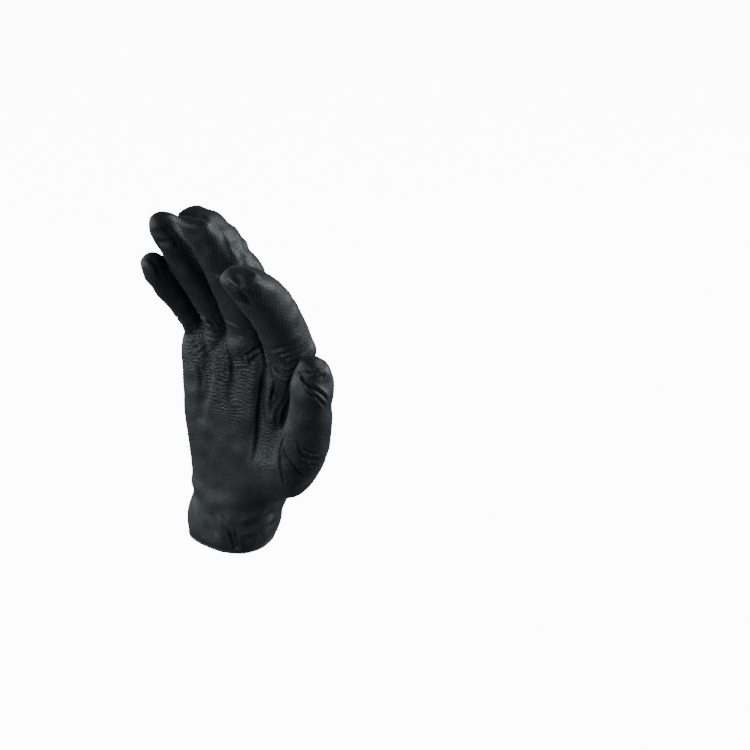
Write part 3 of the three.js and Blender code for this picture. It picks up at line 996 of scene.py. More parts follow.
HOLLOWS: tuple[Dent, ...] = (
    Dent("web_recess", 3.4, (51.5, -7.0, 99.5), (4.6, 8.0, 8.0)),
    Dent("web_recess_high", 1.4, (54.0, -6.5, 108.0), (3.0, 6.0, 6.0)),
    Dent("foot_hollow", 0.9, (44.0, -10.0, 73.0), (6.0, 8.0, 10.0)),
)
CREASES: tuple[Fold, ...] = (
    Fold("palm_main_top", 1.1, 1.1, (
        (33.0, -3.0, 142.0), (36.0, -4.2, 137.0), (38.6, -5.6, 131.0), (37.6, -7.0, 124.0),
    ), 0.1, (0.05, 0.4)),
    Fold("palm_main", 2.0, 1.05, (
        (35.0, -4.0, 138.7), (38.2, -5.2, 133.7), (38.8, -6.2, 128.0), (36.8, -7.4, 119.0),
        (35.1, -8.1, 108.6), (33.9, -9.0, 97.0), (33.0, -9.7, 84.0), (32.3, -10.1, 74.6),
        (32.2, -10.4, 67.0), (32.5, -10.7, 57.0),
    ), 0.12, (0.02, 0.3)),
    Fold("palm_fork_high", 1.3, 0.8, ((27.0, -10.6, 132.8), (30.9, -7.9, 136.0), (34.0, -4.5, 139.4))),
    Fold("palm_fork_low", 1.0, 0.8, ((27.6, -9.7, 127.6), (32.1, -7.8, 132.5), (36.2, -5.6, 135.8))),
    Fold("palm_short", 1.3, 0.75, ((47.4, -9.9, 123.2), (44.8, -8.1, 115.0), (43.3, -8.9, 107.0))),
    Fold("palm_short_rise", 0.6, 0.9, ((45.0, -9.0, 121.0), (46.4, -11.1, 128.1), (46.0, -12.0, 134.6))),
    Fold("web_left", 0.6, 0.9, (
        (53.5, -6.0, 114.0), (50.4, -6.9, 108.6), (47.5, -7.5, 104.2), (46.0, -8.6, 97.3),
        (46.9, -7.9, 90.0),
    ), 0.5),
    Fold("web_line", 0.6, 0.8, ((58.2, -7.6, 130.0), (55.6, -7.4, 121.7), (52.6, -6.5, 112.0))),
    Fold("thumb_edge", 2.1, 0.9, (
        (60.3, -17.0, 95.0), (56.1, -16.7, 86.7), (55.6, -17.9, 80.5), (56.2, -18.2, 74.3),
        (57.5, -18.1, 66.9), (58.0, -15.5, 57.8),
    ), 0.2),
    Fold("ball_a", 1.4, 0.8, (
        (57.7, -17.5, 87.5), (60.8, -18.3, 82.6), (65.7, -17.5, 76.4), (67.8, -14.7, 70.9),
        (69.6, -10.4, 67.0),
    ), 0.2),
    Fold("ball_b", 0.9, 0.7, ((61.0, -18.0, 77.7), (65.0, -16.7, 71.6), (67.7, -13.8, 66.9)), 0.2),
    Fold("ball_c", 1.1, 0.8, (
        (68.2, -17.9, 95.4), (69.8, -17.4, 89.9), (70.8, -16.1, 84.5), (73.7, -12.5, 81.2),
        (75.6, -5.7, 80.2),
    ), 0.2),
    Fold("ball_d", 0.9, 0.75, (
        (71.0, -17.0, 90.8), (73.9, -14.4, 86.7), (76.2, -8.3, 84.1), (77.1, -2.0, 86.3),
    ), 0.2),
    Fold("ball_e", 0.9, 0.75, ((69.0, -16.7, 81.6), (71.8, -14.0, 78.1), (74.1, -6.7, 76.0)), 0.2),
    Fold("thumb_joint_high", 1.5, 0.9, (
        (68.1, -16.4, 132.3), (70.1, -15.6, 135.2), (73.2, -16.6, 132.9), (78.0, -16.5, 130.1),
        (80.8, -14.9, 127.8), (82.8, -11.0, 123.0), (82.9, -5.5, 115.7),
    ), 0.35),
    Fold("thumb_joint_low", 1.1, 0.75, (
        (74.0, -17.0, 127.5), (78.6, -16.5, 126.0), (81.6, -14.0, 122.6), (82.7, -7.2, 113.0),
    ), 0.6),
    Fold("thumb_tip_a", 0.7, 1.0, ((72.9, -13.3, 138.5), (76.8, -13.9, 137.4), (79.3, -9.4, 137.8))),
    Fold("thumb_tip_b", 0.8, 1.0, ((76.9, -16.0, 133.3), (80.2, -12.7, 134.6), (81.8, -7.0, 134.7))),
    Fold("ray_little_ring", 0.7, 2.0, (
        (-9.5, -7.5, 144.0), (-5.9, -9.2, 137.3), (-2.5, -11.0, 129.1), (1.0, -12.1, 120.2),
        (1.6, -13.1, 113.1), (-1.3, -13.5, 101.9), (-5.8, -13.7, 91.4), (-9.8, -14.6, 80.9),
    ), 0.2, (0.02, 0.4)),
    Fold("ray_little", 0.8, 1.2, ((-9.7, -13.2, 120.4), (-6.4, -13.1, 112.8), (-6.1, -13.2, 102.3))),
    Fold("ray_ring_middle", 1.7, 1.2, (
        (9.0, -6.0, 146.0), (11.6, -8.4, 140.0), (14.4, -9.6, 133.0), (15.6, -10.2, 126.0),
        (16.5, -10.7, 119.0), (15.3, -11.5, 107.6),
    ), 0.2, (0.02, 0.4)),
    Fold("ray_ring", 0.5, 0.9, ((11.0, -9.5, 132.1), (12.5, -10.8, 125.3), (12.0, -11.6, 115.8))),
    Fold("ray_middle", 0.7, 0.8, ((22.9, -12.1, 139.1), (24.6, -11.3, 133.3), (26.0, -10.4, 127.7))),
    Fold("little_base_a", 0.8, 0.75, (
        (-24.4, -7.0, 147.5), (-20.5, -12.6, 147.0), (-15.9, -13.9, 144.7), (-14.0, -11.8, 142.0),
        (-11.0, -7.9, 141.5),
    ), 0.2),
    Fold("little_base_b", 0.6, 0.7, (
        (-23.0, -9.0, 141.4), (-16.5, -12.8, 141.0), (-14.1, -10.4, 138.2), (-10.0, -7.9, 138.8),
    ), 0.2),
    Fold("little_base_c", 0.45, 0.7, (
        (-20.0, -10.4, 134.2), (-15.9, -10.4, 135.2), (-11.0, -9.7, 135.5), (-6.5, -8.5, 138.6),
    ), 0.2),
    Fold("little_base_d", 0.45, 0.7, (
        (-19.2, -10.9, 129.8), (-15.2, -11.1, 130.6), (-10.0, -10.9, 132.7), (-5.4, -9.9, 136.6),
    ), 0.2),
    Fold("little_base_e", 0.6, 0.7, ((-14.9, -12.3, 126.4), (-9.0, -11.5, 130.2), (-4.5, -10.2, 133.5)), 0.2),
    Fold("little_base_f", 0.6, 0.7, ((-10.9, -12.8, 122.4), (-6.4, -12.0, 127.2), (-2.8, -10.8, 130.8)), 0.2),
    Fold("ring_base_a", 1.2, 0.85, (
        (-8.2, -7.2, 152.0), (-4.0, -12.0, 152.4), (1.4, -12.9, 150.4), (3.6, -11.1, 147.2),
        (6.6, -7.9, 146.2), (8.4, -3.0, 146.5),
    ), 0.6),
    Fold("ring_base_b", 0.8, 0.75, (
        (-6.2, -10.2, 147.0), (1.8, -12.0, 147.1), (4.7, -10.2, 144.6), (7.9, -6.2, 143.6),
    ), 0.5),
    Fold("ring_base_c", 0.6, 0.75, ((-1.5, -11.4, 142.6), (3.5, -10.7, 141.4), (7.6, -7.6, 141.1)), 0.5),
    Fold("ring_base_d", 0.5, 0.75, ((-2.5, -11.4, 138.6), (2.7, -11.0, 138.1), (8.0, -8.0, 138.0)), 0.5),
    Fold("middle_base_a", 0.7, 0.9, (
        (13.5, -12.4, 154.5), (20.0, -15.0, 153.6), (26.8, -12.6, 152.2), (31.6, -8.2, 146.0),
    ), 0.5),
    Fold("middle_base_b", 0.9, 0.75, ((25.0, -11.6, 131.5), (29.4, -9.6, 135.6), (32.9, -6.4, 139.8)), 0.4),
    Fold("middle_base_c", 0.6, 0.8, ((22.0, -13.6, 146.0), (27.2, -11.9, 144.6), (31.4, -8.5, 141.5)), 0.4),
    Fold("index_base_a", 1.5, 0.95, (
        (41.6, -10.0, 144.0), (44.7, -12.1, 138.0), (47.4, -12.0, 133.1), (52.7, -11.4, 130.6),
        (57.2, -9.1, 130.3), (60.4, -5.8, 133.0), (62.6, -1.1, 138.0), (62.4, 3.9, 141.2),
    ), 0.5),
    Fold("index_base_b", 1.0, 0.8, (
        (44.2, -11.7, 131.8), (49.4, -11.1, 128.0), (54.7, -9.6, 126.6), (59.3, -6.0, 128.1),
    ), 0.5),
    Fold("index_base_c", 0.7, 1.3, (
        (43.0, -13.0, 146.0), (50.0, -14.7, 144.0), (56.9, -15.1, 147.8), (61.6, -12.0, 150.3),
        (63.6, -4.4, 151.9),
    ), 0.4),
    Fold("index_base_d", 0.8, 0.9, (
        (51.3, -13.8, 141.0), (57.7, -12.6, 143.4), (61.8, -8.9, 145.0), (63.7, -2.0, 147.6),
    ), 0.5),
    Fold("index_base_e", 0.7, 0.8, ((55.6, -12.0, 138.4), (59.7, -9.9, 140.5), (62.8, -4.6, 144.0)), 0.5),
    Fold("index_tip_a", 1.0, 1.2, (
        (45.8, -46.2, 196.9), (49.9, -47.3, 192.8), (53.8, -46.4, 190.6), (55.5, -43.7, 187.3),
        (56.0, -39.6, 182.0), (54.6, -35.8, 175.4),
    ), 0.3),
    Fold("index_tip_b", 0.6, 1.5, ((49.1, -44.4, 199.1), (54.5, -46.0, 197.4), (57.2, -46.2, 192.0)), 0.3),
    Fold("index_tip_c", 0.7, 1.4, ((51.5, -38.1, 200.5), (59.4, -40.3, 198.4), (62.4, -34.2, 194.1)), 0.3),
    Fold("middle_tip_a", 0.7, 1.3, (
        (1.5, -29.0, 214.5), (4.0, -31.5, 217.0), (9.3, -30.0, 218.4), (17.5, -29.3, 219.2),
        (23.2, -26.1, 216.4),
    ), 0.3),
    Fold("middle_edge", -0.7, 1.6, (
        (24.0, -22.2, 216.3), (26.6, -20.8, 208.3), (27.9, -19.7, 200.0), (29.8, -14.1, 190.5),
    ), 0.0),
    Fold("middle_crook", 0.6, 1.4, ((12.0, -26.5, 189.0), (19.0, -26.0, 186.0), (26.5, -18.0, 186.5)), 0.3),
    Fold("ring_tip_a", 0.6, 1.4, ((-19.0, -33.0, 205.5), (-12.9, -32.7, 206.0), (-9.4, -29.3, 207.6)), 0.3),
    Fold("ring_tip_b", 0.8, 1.4, ((-11.0, -30.6, 210.0), (-8.3, -28.2, 203.3), (-5.9, -24.8, 195.6)), 0.2),
    Fold("ring_tip_c", 0.6, 1.3, ((-17.6, -32.5, 200.0), (-11.6, -31.4, 199.5), (-7.0, -26.5, 200.6)), 0.3),
    Fold("little_tip", 0.6, 1.2, ((-24.8, -31.4, 187.4), (-20.5, -29.9, 183.4), (-19.5, -28.9, 176.0)), 0.3),
    Fold("cuff_a", 1.9, 1.0, ((14.0, -20.6, 18.0), (16.7, -19.6, 11.3), (19.0, -18.7, 3.5)), 0.3, (0.4, 0.1)),
    Fold("cuff_b", 1.7, 0.9, ((18.6, -19.2, 19.2), (20.2, -19.0, 11.5), (20.6, -18.3, 3.0)), 0.3, (0.4, 0.1)),
    Fold("cuff_c", 1.1, 2.0, (
        (21.4, -17.5, 18.6), (28.5, -11.3, 21.9), (31.7, -3.7, 25.0), (32.4, 6.2, 26.9),
    ), 0.5),
    Fold("cuff_d", 1.3, 1.6, (
        (22.4, -17.9, 10.6), (29.2, -10.7, 14.1), (31.5, -3.8, 16.5), (32.0, 4.4, 20.6),
    ), 0.5),
    Fold("cuff_e", 0.5, 1.8, ((0.0, -19.6, 25.1), (4.2, -21.3, 18.4), (7.9, -22.3, 9.7)), 0.4),
    Fold("cuff_f", 0.5, 1.4, ((9.7, -18.8, 26.1), (11.6, -20.6, 19.2), (13.9, -20.7, 13.1)), 0.4),
)
BACK_CREASES: tuple[Fold, ...] = (
    Fold("index_knuckle", 0.6, 1.1, ((36.5, 8.5, 148.0), (47.0, 13.2, 145.0), (59.5, 7.8, 147.0)), 0.4),
    Fold("index_knuckle_low", 0.5, 1.0, ((38.5, 12.0, 141.0), (48.0, 16.0, 138.5), (57.5, 11.0, 141.0)), 0.4),
    Fold("middle_knuckle", 0.6, 1.1, ((10.5, 9.0, 151.5), (21.5, 14.2, 149.0), (32.5, 8.4, 151.0)), 0.4),
    Fold("middle_knuckle_low", 0.5, 1.0, (
        (13.0, 12.0, 143.0), (22.0, 15.0, 140.5), (31.0, 12.0, 143.5),
    ), 0.4),
    Fold("ring_knuckle", 0.6, 1.0, ((-7.5, 7.4, 149.5), (-0.5, 11.0, 147.5), (6.6, 7.0, 149.0)), 0.4),
    Fold("little_knuckle", 0.6, 1.0, ((-23.0, 0.5, 146.5), (-17.0, 4.6, 144.5), (-11.5, 0.5, 146.0)), 0.4),
    Fold("web_back_a", 1.0, 1.2, ((46.0, 12.5, 104.0), (53.0, 8.5, 96.0), (60.5, 6.0, 88.0)), 0.3),
    Fold("web_back_b", 0.8, 1.1, ((42.5, 14.5, 96.0), (50.0, 12.0, 87.0), (57.0, 9.0, 78.0)), 0.3),
    Fold("wrist_back_a", 0.9, 1.4, ((-18.0, 19.0, 41.0), (2.0, 25.0, 43.0), (24.0, 22.5, 46.0)), 0.4),
    Fold("wrist_back_b", 0.7, 1.2, ((-14.0, 20.5, 50.0), (6.0, 24.4, 51.5), (22.0, 22.6, 55.0)), 0.4),
    Fold("cuff_back_a", 0.8, 1.4, (
        (-6.0, 24.5, 22.0), (-2.0, 24.0, 12.0), (-4.0, 22.5, 3.0),
    ), 0.4, (0.4, 0.1)),
    Fold("cuff_back_b", 0.7, 1.2, (
        (14.0, 23.0, 23.0), (17.0, 21.5, 13.0), (13.0, 21.0, 4.0),
    ), 0.4, (0.4, 0.1)),
)
NUDGES: tuple[Nudge, ...] = (
    Nudge("middle_tip", (-2.7, -2.3, 0.0), (14.0, -28.0, 219.0), (16.0, 16.0, 12.0)),
    Nudge("middle_tip_left", (-1.1, -1.0, 0.8), (6.0, -30.0, 218.0), (9.0, 11.0, 9.0)),
    Nudge("middle_tip_right", (-1.9, -1.6, -1.2), (24.0, -17.0, 212.0), (9.0, 10.0, 10.0)),
    Nudge("middle_tip_top", (-1.2, -1.0, -3.2), (19.0, -22.5, 220.0), (10.0, 11.0, 9.0)),
    Nudge("middle_back", (3.0, 2.5, 0.0), (29.0, -3.0, 182.5), (12.0, 12.0, 8.0)),
    Nudge("ring_tip", (-0.5, -0.4, 0.9), (-18.0, -32.0, 208.0), (8.0, 8.0, 8.0)),
    Nudge("little_tip", (0.4, 0.3, 0.9), (-25.0, -30.0, 188.0), (8.0, 8.0, 6.0)),
    Nudge("little_middle", (-0.9, -0.7, 0.0), (-26.0, -18.0, 165.0), (8.0, 12.0, 11.0)),
    Nudge("little_root", (1.3, 1.1, 0.0), (-26.0, -3.0, 141.0), (9.0, 12.0, 12.0)),
    Nudge("palm_side", (-0.6, -0.5, 0.0), (-28.0, 6.0, 82.0), (10.0, 12.0, 16.0)),
    Nudge("thumb_side", (1.1, 0.9, 0.0), (79.0, -1.0, 93.0), (9.0, 12.0, 13.0)),
    Nudge("ball_foot", (-1.4, -0.9, 0.5), (66.0, -9.0, 60.0), (9.0, 10.0, 8.0)),
    Nudge("index_back", (1.9, 1.6, 0.0), (62.0, 6.0, 138.5), (9.0, 12.0, 7.5)),
    Nudge("wrist_left", (-1.6, -1.3, 0.0), (-17.5, -10.0, 35.5), (10.0, 10.0, 4.8)),
    Nudge("neck_right", (2.1, 1.8, 0.0), (30.5, 12.5, 28.5), (9.0, 9.0, 5.5)),
    Nudge("thumb_tip", (-0.6, -0.3, 2.2), (70.0, -10.0, 142.0), (9.0, 9.0, 7.0)),
    Nudge("ball_right", (0.9, 0.8, 0.0), (76.0, -4.0, 78.0), (9.0, 12.0, 12.0)),
    Nudge("palm_foot_high", (0.0, -1.1, 0.0), (37.5, -10.0, 76.0), (4.5, 8.0, 11.0)),
    Nudge("palm_foot_low", (0.0, -2.3, 0.0), (35.0, -11.0, 60.0), (8.0, 8.0, 14.0)),
)
EASINGS: tuple[Easing, ...] = (
    Easing("palm_to_ball", 500, (40.0, -13.0, 62.0), (17.0, 14.0, 26.0)),
)


def nudged(points: Array) -> Array:
    """Gives the points with all the nudges' steps added."""
    return points + sum(item.shift(points) for item in NUDGES)


BROAD: tuple[Dent, ...] = (
    Dent("thumb_pad_flat", 0.5, (78.0, -12.0, 134.0), (6.0, 6.0, 7.0)),
    Dent("index_tip_flat", 0.6, (52.0, -46.0, 199.0), (8.0, 6.0, 5.0)),
    Dent("index_side_flat", 0.6, (57.0, -34.0, 178.0), (6.0, 8.0, 12.0)),
    Dent("palm_swell", -0.8, (6.0, -14.0, 66.0), (20.0, 8.0, 20.0)),
    Dent("wrist_swell", -0.7, (6.0, -19.0, 30.0), (24.0, 8.0, 8.0)),
)
WAVES: tuple[Slack | Ripples, ...] = (
    Slack("broad", 0.15, 26.0, 4),
    Slack("middling", 0.13, 11.0, 9),
    Slack("ring_crotch", 0.34, 3.6, 21, (-9.5, -9.5, 136.0), (8.5, 8.0, 10.0), (0.8, 1, 1.6), True),
    Slack("middle_crotch", 0.3, 3.4, 22, (13.5, -9.5, 140.0), (8.0, 8.0, 10.0), (0.8, 1, 1.4), True),
    Slack("index_crotch", 0.3, 3.6, 23, (30.5, -8.0, 134.0), (6.5, 8.0, 9.0), (1, 1, 1.6), True),
    Slack("index_root", 0.35, 4.6, 24, (54.0, -8.0, 137.0), (12.0, 12.0, 9.0), (0.7, 1, 1.5), True),
    Slack("ball", 0.22, 5.0, 25, (67.0, -13.0, 80.0), (13.0, 12.0, 16.0), (1, 1, 1), True),
    Slack("web", 0.3, 4.4, 26, (47.0, -9.0, 98.0), (10.0, 9.0, 17.0), (1, 1, 1), True),
    Slack("ball_side", 0.5, 3.3, 30, (43.0, -12.0, 76.0), (9.0, 9.0, 14.0), (1.3, 1, 0.8), True),
    Slack("palm_crinkle", 0.34, 2.9, 28, (6.0, -11.0, 124.0), (20.0, 12.0, 17.0), (0.4, 0.5, 1.5), True),
    Slack("palm_crinkle_low", 0.12, 3.2, 29, (12.0, -12.0, 98.0), (22.0, 12.0, 14.0), (0.4, 0.5, 1.5), True),
    Slack("cuff", 0.16, 15.0, 27, (2.0, 0.0, 12.0), (40.0, 40.0, 13.0), (1, 1, 0.5), True),
    Slack("index_end", 0.5, 13.0, 31, (52.0, -40.0, 192.0), (17.0, 17.0, 17.0)),
    Slack("middle_end", 0.45, 14.0, 32, (14.0, -22.0, 210.0), (18.0, 18.0, 18.0)),
    Slack("middle_side", 0.3, 7.5, 36, (27.0, -10.0, 196.0), (12.0, 16.0, 17.0)),
    Slack("ring_end", 0.4, 12.0, 33, (-16.0, -24.0, 204.0), (14.0, 14.0, 16.0)),
    Slack("little_end", 0.35, 11.0, 34, (-25.0, -27.0, 182.0), (12.0, 12.0, 14.0)),
    Slack("thumb_end", 0.3, 12.0, 35, (74.0, -8.0, 132.0), (15.0, 15.0, 14.0)),
    Ripples("palm_high", 0.2, 2.8, 8.0, (4.0, -11.0, 121.0), (17.0, 12.0, 17.0), 41),
    Ripples("palm_middle", 0.22, 2.9, -10.0, (27.0, -10.0, 122.0), (8.0, 10.0, 12.0), 43),
    Ripples("little_side", 0.14, 3.0, 14.0, (-12.0, -11.0, 129.0), (8.0, 9.0, 9.0), 45),
    Ripples("palm_low", 0.08, 3.6, 4.0, (16.0, -11.0, 98.0), (13.0, 10.0, 9.0), 47),
    Ripples("web_side", 0.12, 3.0, -20.0, (45.0, -10.0, 80.0), (8.0, 10.0, 16.0), 49),
)


# Finishes


class Shading:
    """One new material, and short ways to add nodes to it."""

    def __init__(self, name: str) -> None:
        """Makes the material with its shader.

        Args:
            name: the material's name.
        """
        self.material = bpy.data.materials.new(name)
        self.material.use_nodes = True
        self.tree = self.material.node_tree
        self.shader = next(node for node in self.tree.nodes if node.type == "BSDF_PRINCIPLED")

    def feed(self, node: bpy.types.Node, **inputs: Socket | float | Triple) -> None:
        """Fills a node's inputs.

        Args:
            node: the node.
            inputs: by name, with _ for a space, the socket to link, the number or the colour.
        """
        for name, value in inputs.items():
            socket = node.inputs[name.replace("_", " ")]
            if isinstance(value, Socket):
                self.tree.links.new(value, socket)
            else:
                socket.default_value = (*value, 1.0) if isinstance(value, tuple) else value

    def add(self, kind: str, output: str, **inputs: Socket | float | Triple) -> Socket:
        """Adds one node.

        Args:
            kind: Blender's name of the node, less its first word.
            output: the name of the output that is wanted.
            inputs: what its inputs get, as in feed.

        Returns:
            The output.
        """
        node = self.tree.nodes.new(f"ShaderNode{kind}")
        self.feed(node, **inputs)
        return node.outputs[output]

    def written(self, name: str) -> Socket:
        """Reads a number that the mesh's points carry.

        Args:
            name: the attribute's name.

        Returns:
            The number.
        """
        node = self.tree.nodes.new("ShaderNodeAttribute")
        node.attribute_name = name
        return node.outputs["Fac"]

    def noise(self, place: Socket, size: float, detail: float, roughness: float) -> Socket:
        """Noise whose patches are about one size across.

        Args:
            place: coordinates to read.
            size: the patches' size, in millimetres.
            detail: number of finer layers.
            roughness: how much each finer layer counts.

        Returns:
            The noise, from 0 to 1.
        """
        return self.add(
            "TexNoise", "Fac", Vector=place, Scale=1 / (size * MM), Detail=detail, Roughness=roughness
        )

    def ranged(self, value: Socket, start: tuple[float, float], end: tuple[float, float]) -> Socket:
        """Stretches one range of a number to another, and holds it there.

        Args:
            value: the number.
            start: the range to read.
            end: the range to give.

        Returns:
            The stretched number.
        """
        return self.add(
            "MapRange", "Result", Value=value,
            From_Min=start[0], From_Max=start[1], To_Min=end[0], To_Max=end[1],
        )

    def times(self, first: Socket, second: Socket) -> Socket:
        """Multiplies two numbers.

        Args:
            first: one number.
            second: the other.

        Returns:
            Their product.
        """
        node = self.tree.nodes.new("ShaderNodeMath")
        node.operation = "MULTIPLY"
        self.tree.links.new(first, node.inputs[0])
        self.tree.links.new(second, node.inputs[1])
        return node.outputs["Value"]

    def mixed(self, share: Socket, first: Socket | Triple, second: Triple) -> Socket:
        """Blends two colours.

        Args:
            share: share of the second colour.
            first: the colour at 0.
            second: the colour at 1.

        Returns:
            The blend.
        """
        node = self.tree.nodes.new("ShaderNodeMix")
        node.data_type = "RGBA"
        self.tree.links.new(share, node.inputs["Factor"])
        for name, colour in (("A", first), ("B", second)):
            socket = next(end for end in node.inputs if end.name == name and end.type == "RGBA")
            if isinstance(colour, Socket):
                self.tree.links.new(colour, socket)
            else:
                socket.default_value = (*colour, 1.0)
        return next(end for end in node.outputs if end.type == "RGBA")


@dataclass(frozen=True)
class NitrileFinish:
    """Black nitrile with a satin face: dark, faintly blue-green, a little uneven in gloss.

    Sizes and heights are in millimetres. The ranges say which part of a noise, or which depths of the
    creases, count from none to all, and the shares how much they count. The crease tone is painted
    shade, mixed in by the depth of the creases and hollows and in the low bands of the ripples.
    """

    name: str = "black_nitrile"
    tone: Triple = (0.0105, 0.0135, 0.0150)
    worn_tone: Triple = (0.0200, 0.0240, 0.0255)
    # Painted shade: the dark tone mixed into the creases, the hollows and the ripples' low bands.
    crease_shade_tone: Triple = (0.0045, 0.0058, 0.0066)
    refraction: float = 1.5
    gloss: tuple[float, float] = (0.45, 0.62)
    gloss_size: float = 6.0
    gloss_range: tuple[float, float] = (0.3, 0.7)
    sheen: float = 0.06
    sheen_spread: float = 0.5
    worn_size: float = 9.0
    worn_range: tuple[float, float] = (0.42, 0.72)
    # Painted shade: the crease depths over which the dark tone grows, and its greatest share.
    crease_shade_range: tuple[float, float] = (0.2, 1.3)
    crease_shade_share: float = 0.85
    grain_size: float = 0.55
    grain_height: float = 0.05
    crinkle_size: float = 2.6
    crinkle_height: float = 0.16
    ripple_pitch: float = 2.3
    ripple_height: float = 0.36
    ripple_bend: float = 9.0
    ripple_range: tuple[float, float] = (0.1, 0.9)
    # Painted shade in the ripples' low bands: the band heights that it covers, and its greatest share.
    trough_shade_range: tuple[float, float] = (0.0, 0.6)
    trough_shade_share: float = 0.7
    wave_rate: float = 20.0

    def ripples(self, shading: Shading, place: Socket) -> Socket:
        """Bands across Z, bent by a noise.

        Blender's wave texture turns by wave_rate radians in one unit at a scale of 1, so the
        scale is a full turn over that rate and over the pitch.

        Args:
            shading: the material's nodes.
            place: coordinates to read.

        Returns:
            The bands' height, from 0 to 1.
        """
        node = shading.tree.nodes.new("ShaderNodeTexWave")
        node.bands_direction = "Z"
        shading.feed(
            node, Vector=place, Scale=FULL_TURN / self.wave_rate / (self.ripple_pitch * MM),
            Distortion=self.ripple_bend, Detail=2.0, Detail_Scale=1.1,
        )
        return node.outputs["Fac"]

    def material(self) -> bpy.types.Material:
        """Builds the material from noises on Object coordinates and the film's own attributes.

        Returns:
            The material: a colour between worn and plain tones, with painted shade that darkens the
            creases and hollows by their depth and the ripples' low bands, a roughness that drifts, and a
            bump of ripples, crinkles and fine grain.
        """
        shading = Shading(self.name)
        place = shading.add("TexCoord", "Object")
        bands = self.ripples(shading, place)
        rippled = shading.ranged(shading.written("ripple"), self.ripple_range, (0.0, 1.0))
        worn = shading.ranged(shading.noise(place, self.worn_size, 4.0, 0.6), self.worn_range, (0.0, 1.0))
        # Painted shade: darker where the creases and hollows are deep, read from the attribute press.
        crease_shade_mask = shading.ranged(shading.written("press"), self.crease_shade_range, (0.0, self.crease_shade_share))
        # Painted shade: the ripples' low bands are marked for the dark tone.
        trough_shade_mask = shading.ranged(bands, self.trough_shade_range, (self.trough_shade_share, 0.0))
        colour = shading.mixed(worn, self.tone, self.worn_tone)
        # Painted shade in the creases and hollows.
        colour = shading.mixed(crease_shade_mask, colour, self.crease_shade_tone)
        # Painted shade in the ripples' low bands.
        colour = shading.mixed(shading.times(trough_shade_mask, rippled), colour, self.crease_shade_tone)
        drift = shading.noise(place, self.gloss_size, 5.0, 0.62)
        shading.feed(
            shading.shader, Base_Color=colour, Metallic=0.0, IOR=self.refraction,
            Roughness=shading.ranged(drift, self.gloss_range, self.gloss),
            Sheen_Weight=self.sheen, Sheen_Roughness=self.sheen_spread,
        )
        normal = {}
        for source, height in (
            (shading.times(bands, rippled), self.ripple_height),
            (shading.noise(place, self.crinkle_size, 3.0, 0.55), self.crinkle_height),
            (shading.noise(place, self.grain_size, 2.0, 0.55), self.grain_height),
        ):
            bump = shading.add(
                "Bump", "Normal", Strength=1.0, Distance=height * MM, Height=source, **normal
            )
            normal = {"Normal": bump}
        shading.feed(shading.shader, **normal)
        return shading.material


@dataclass(frozen=True)
class PaleFinish:
    """Dull, nearly white face that glows, for the floor."""

    name: str = "pale_floor"
    tone: float = 0.9
    roughness: float = 0.9
    glow: float = 12.0

    def material(self) -> bpy.types.Material:
        """Builds the material.

        Returns:
            The material.
        """
        shading = Shading(self.name)
        shading.feed(
            shading.shader, Base_Color=(self.tone,) * 3, Roughness=self.roughness,
            Emission_Color=(1.0, 1.0, 1.0), Emission_Strength=self.glow,
        )
        return shading.material


# The film


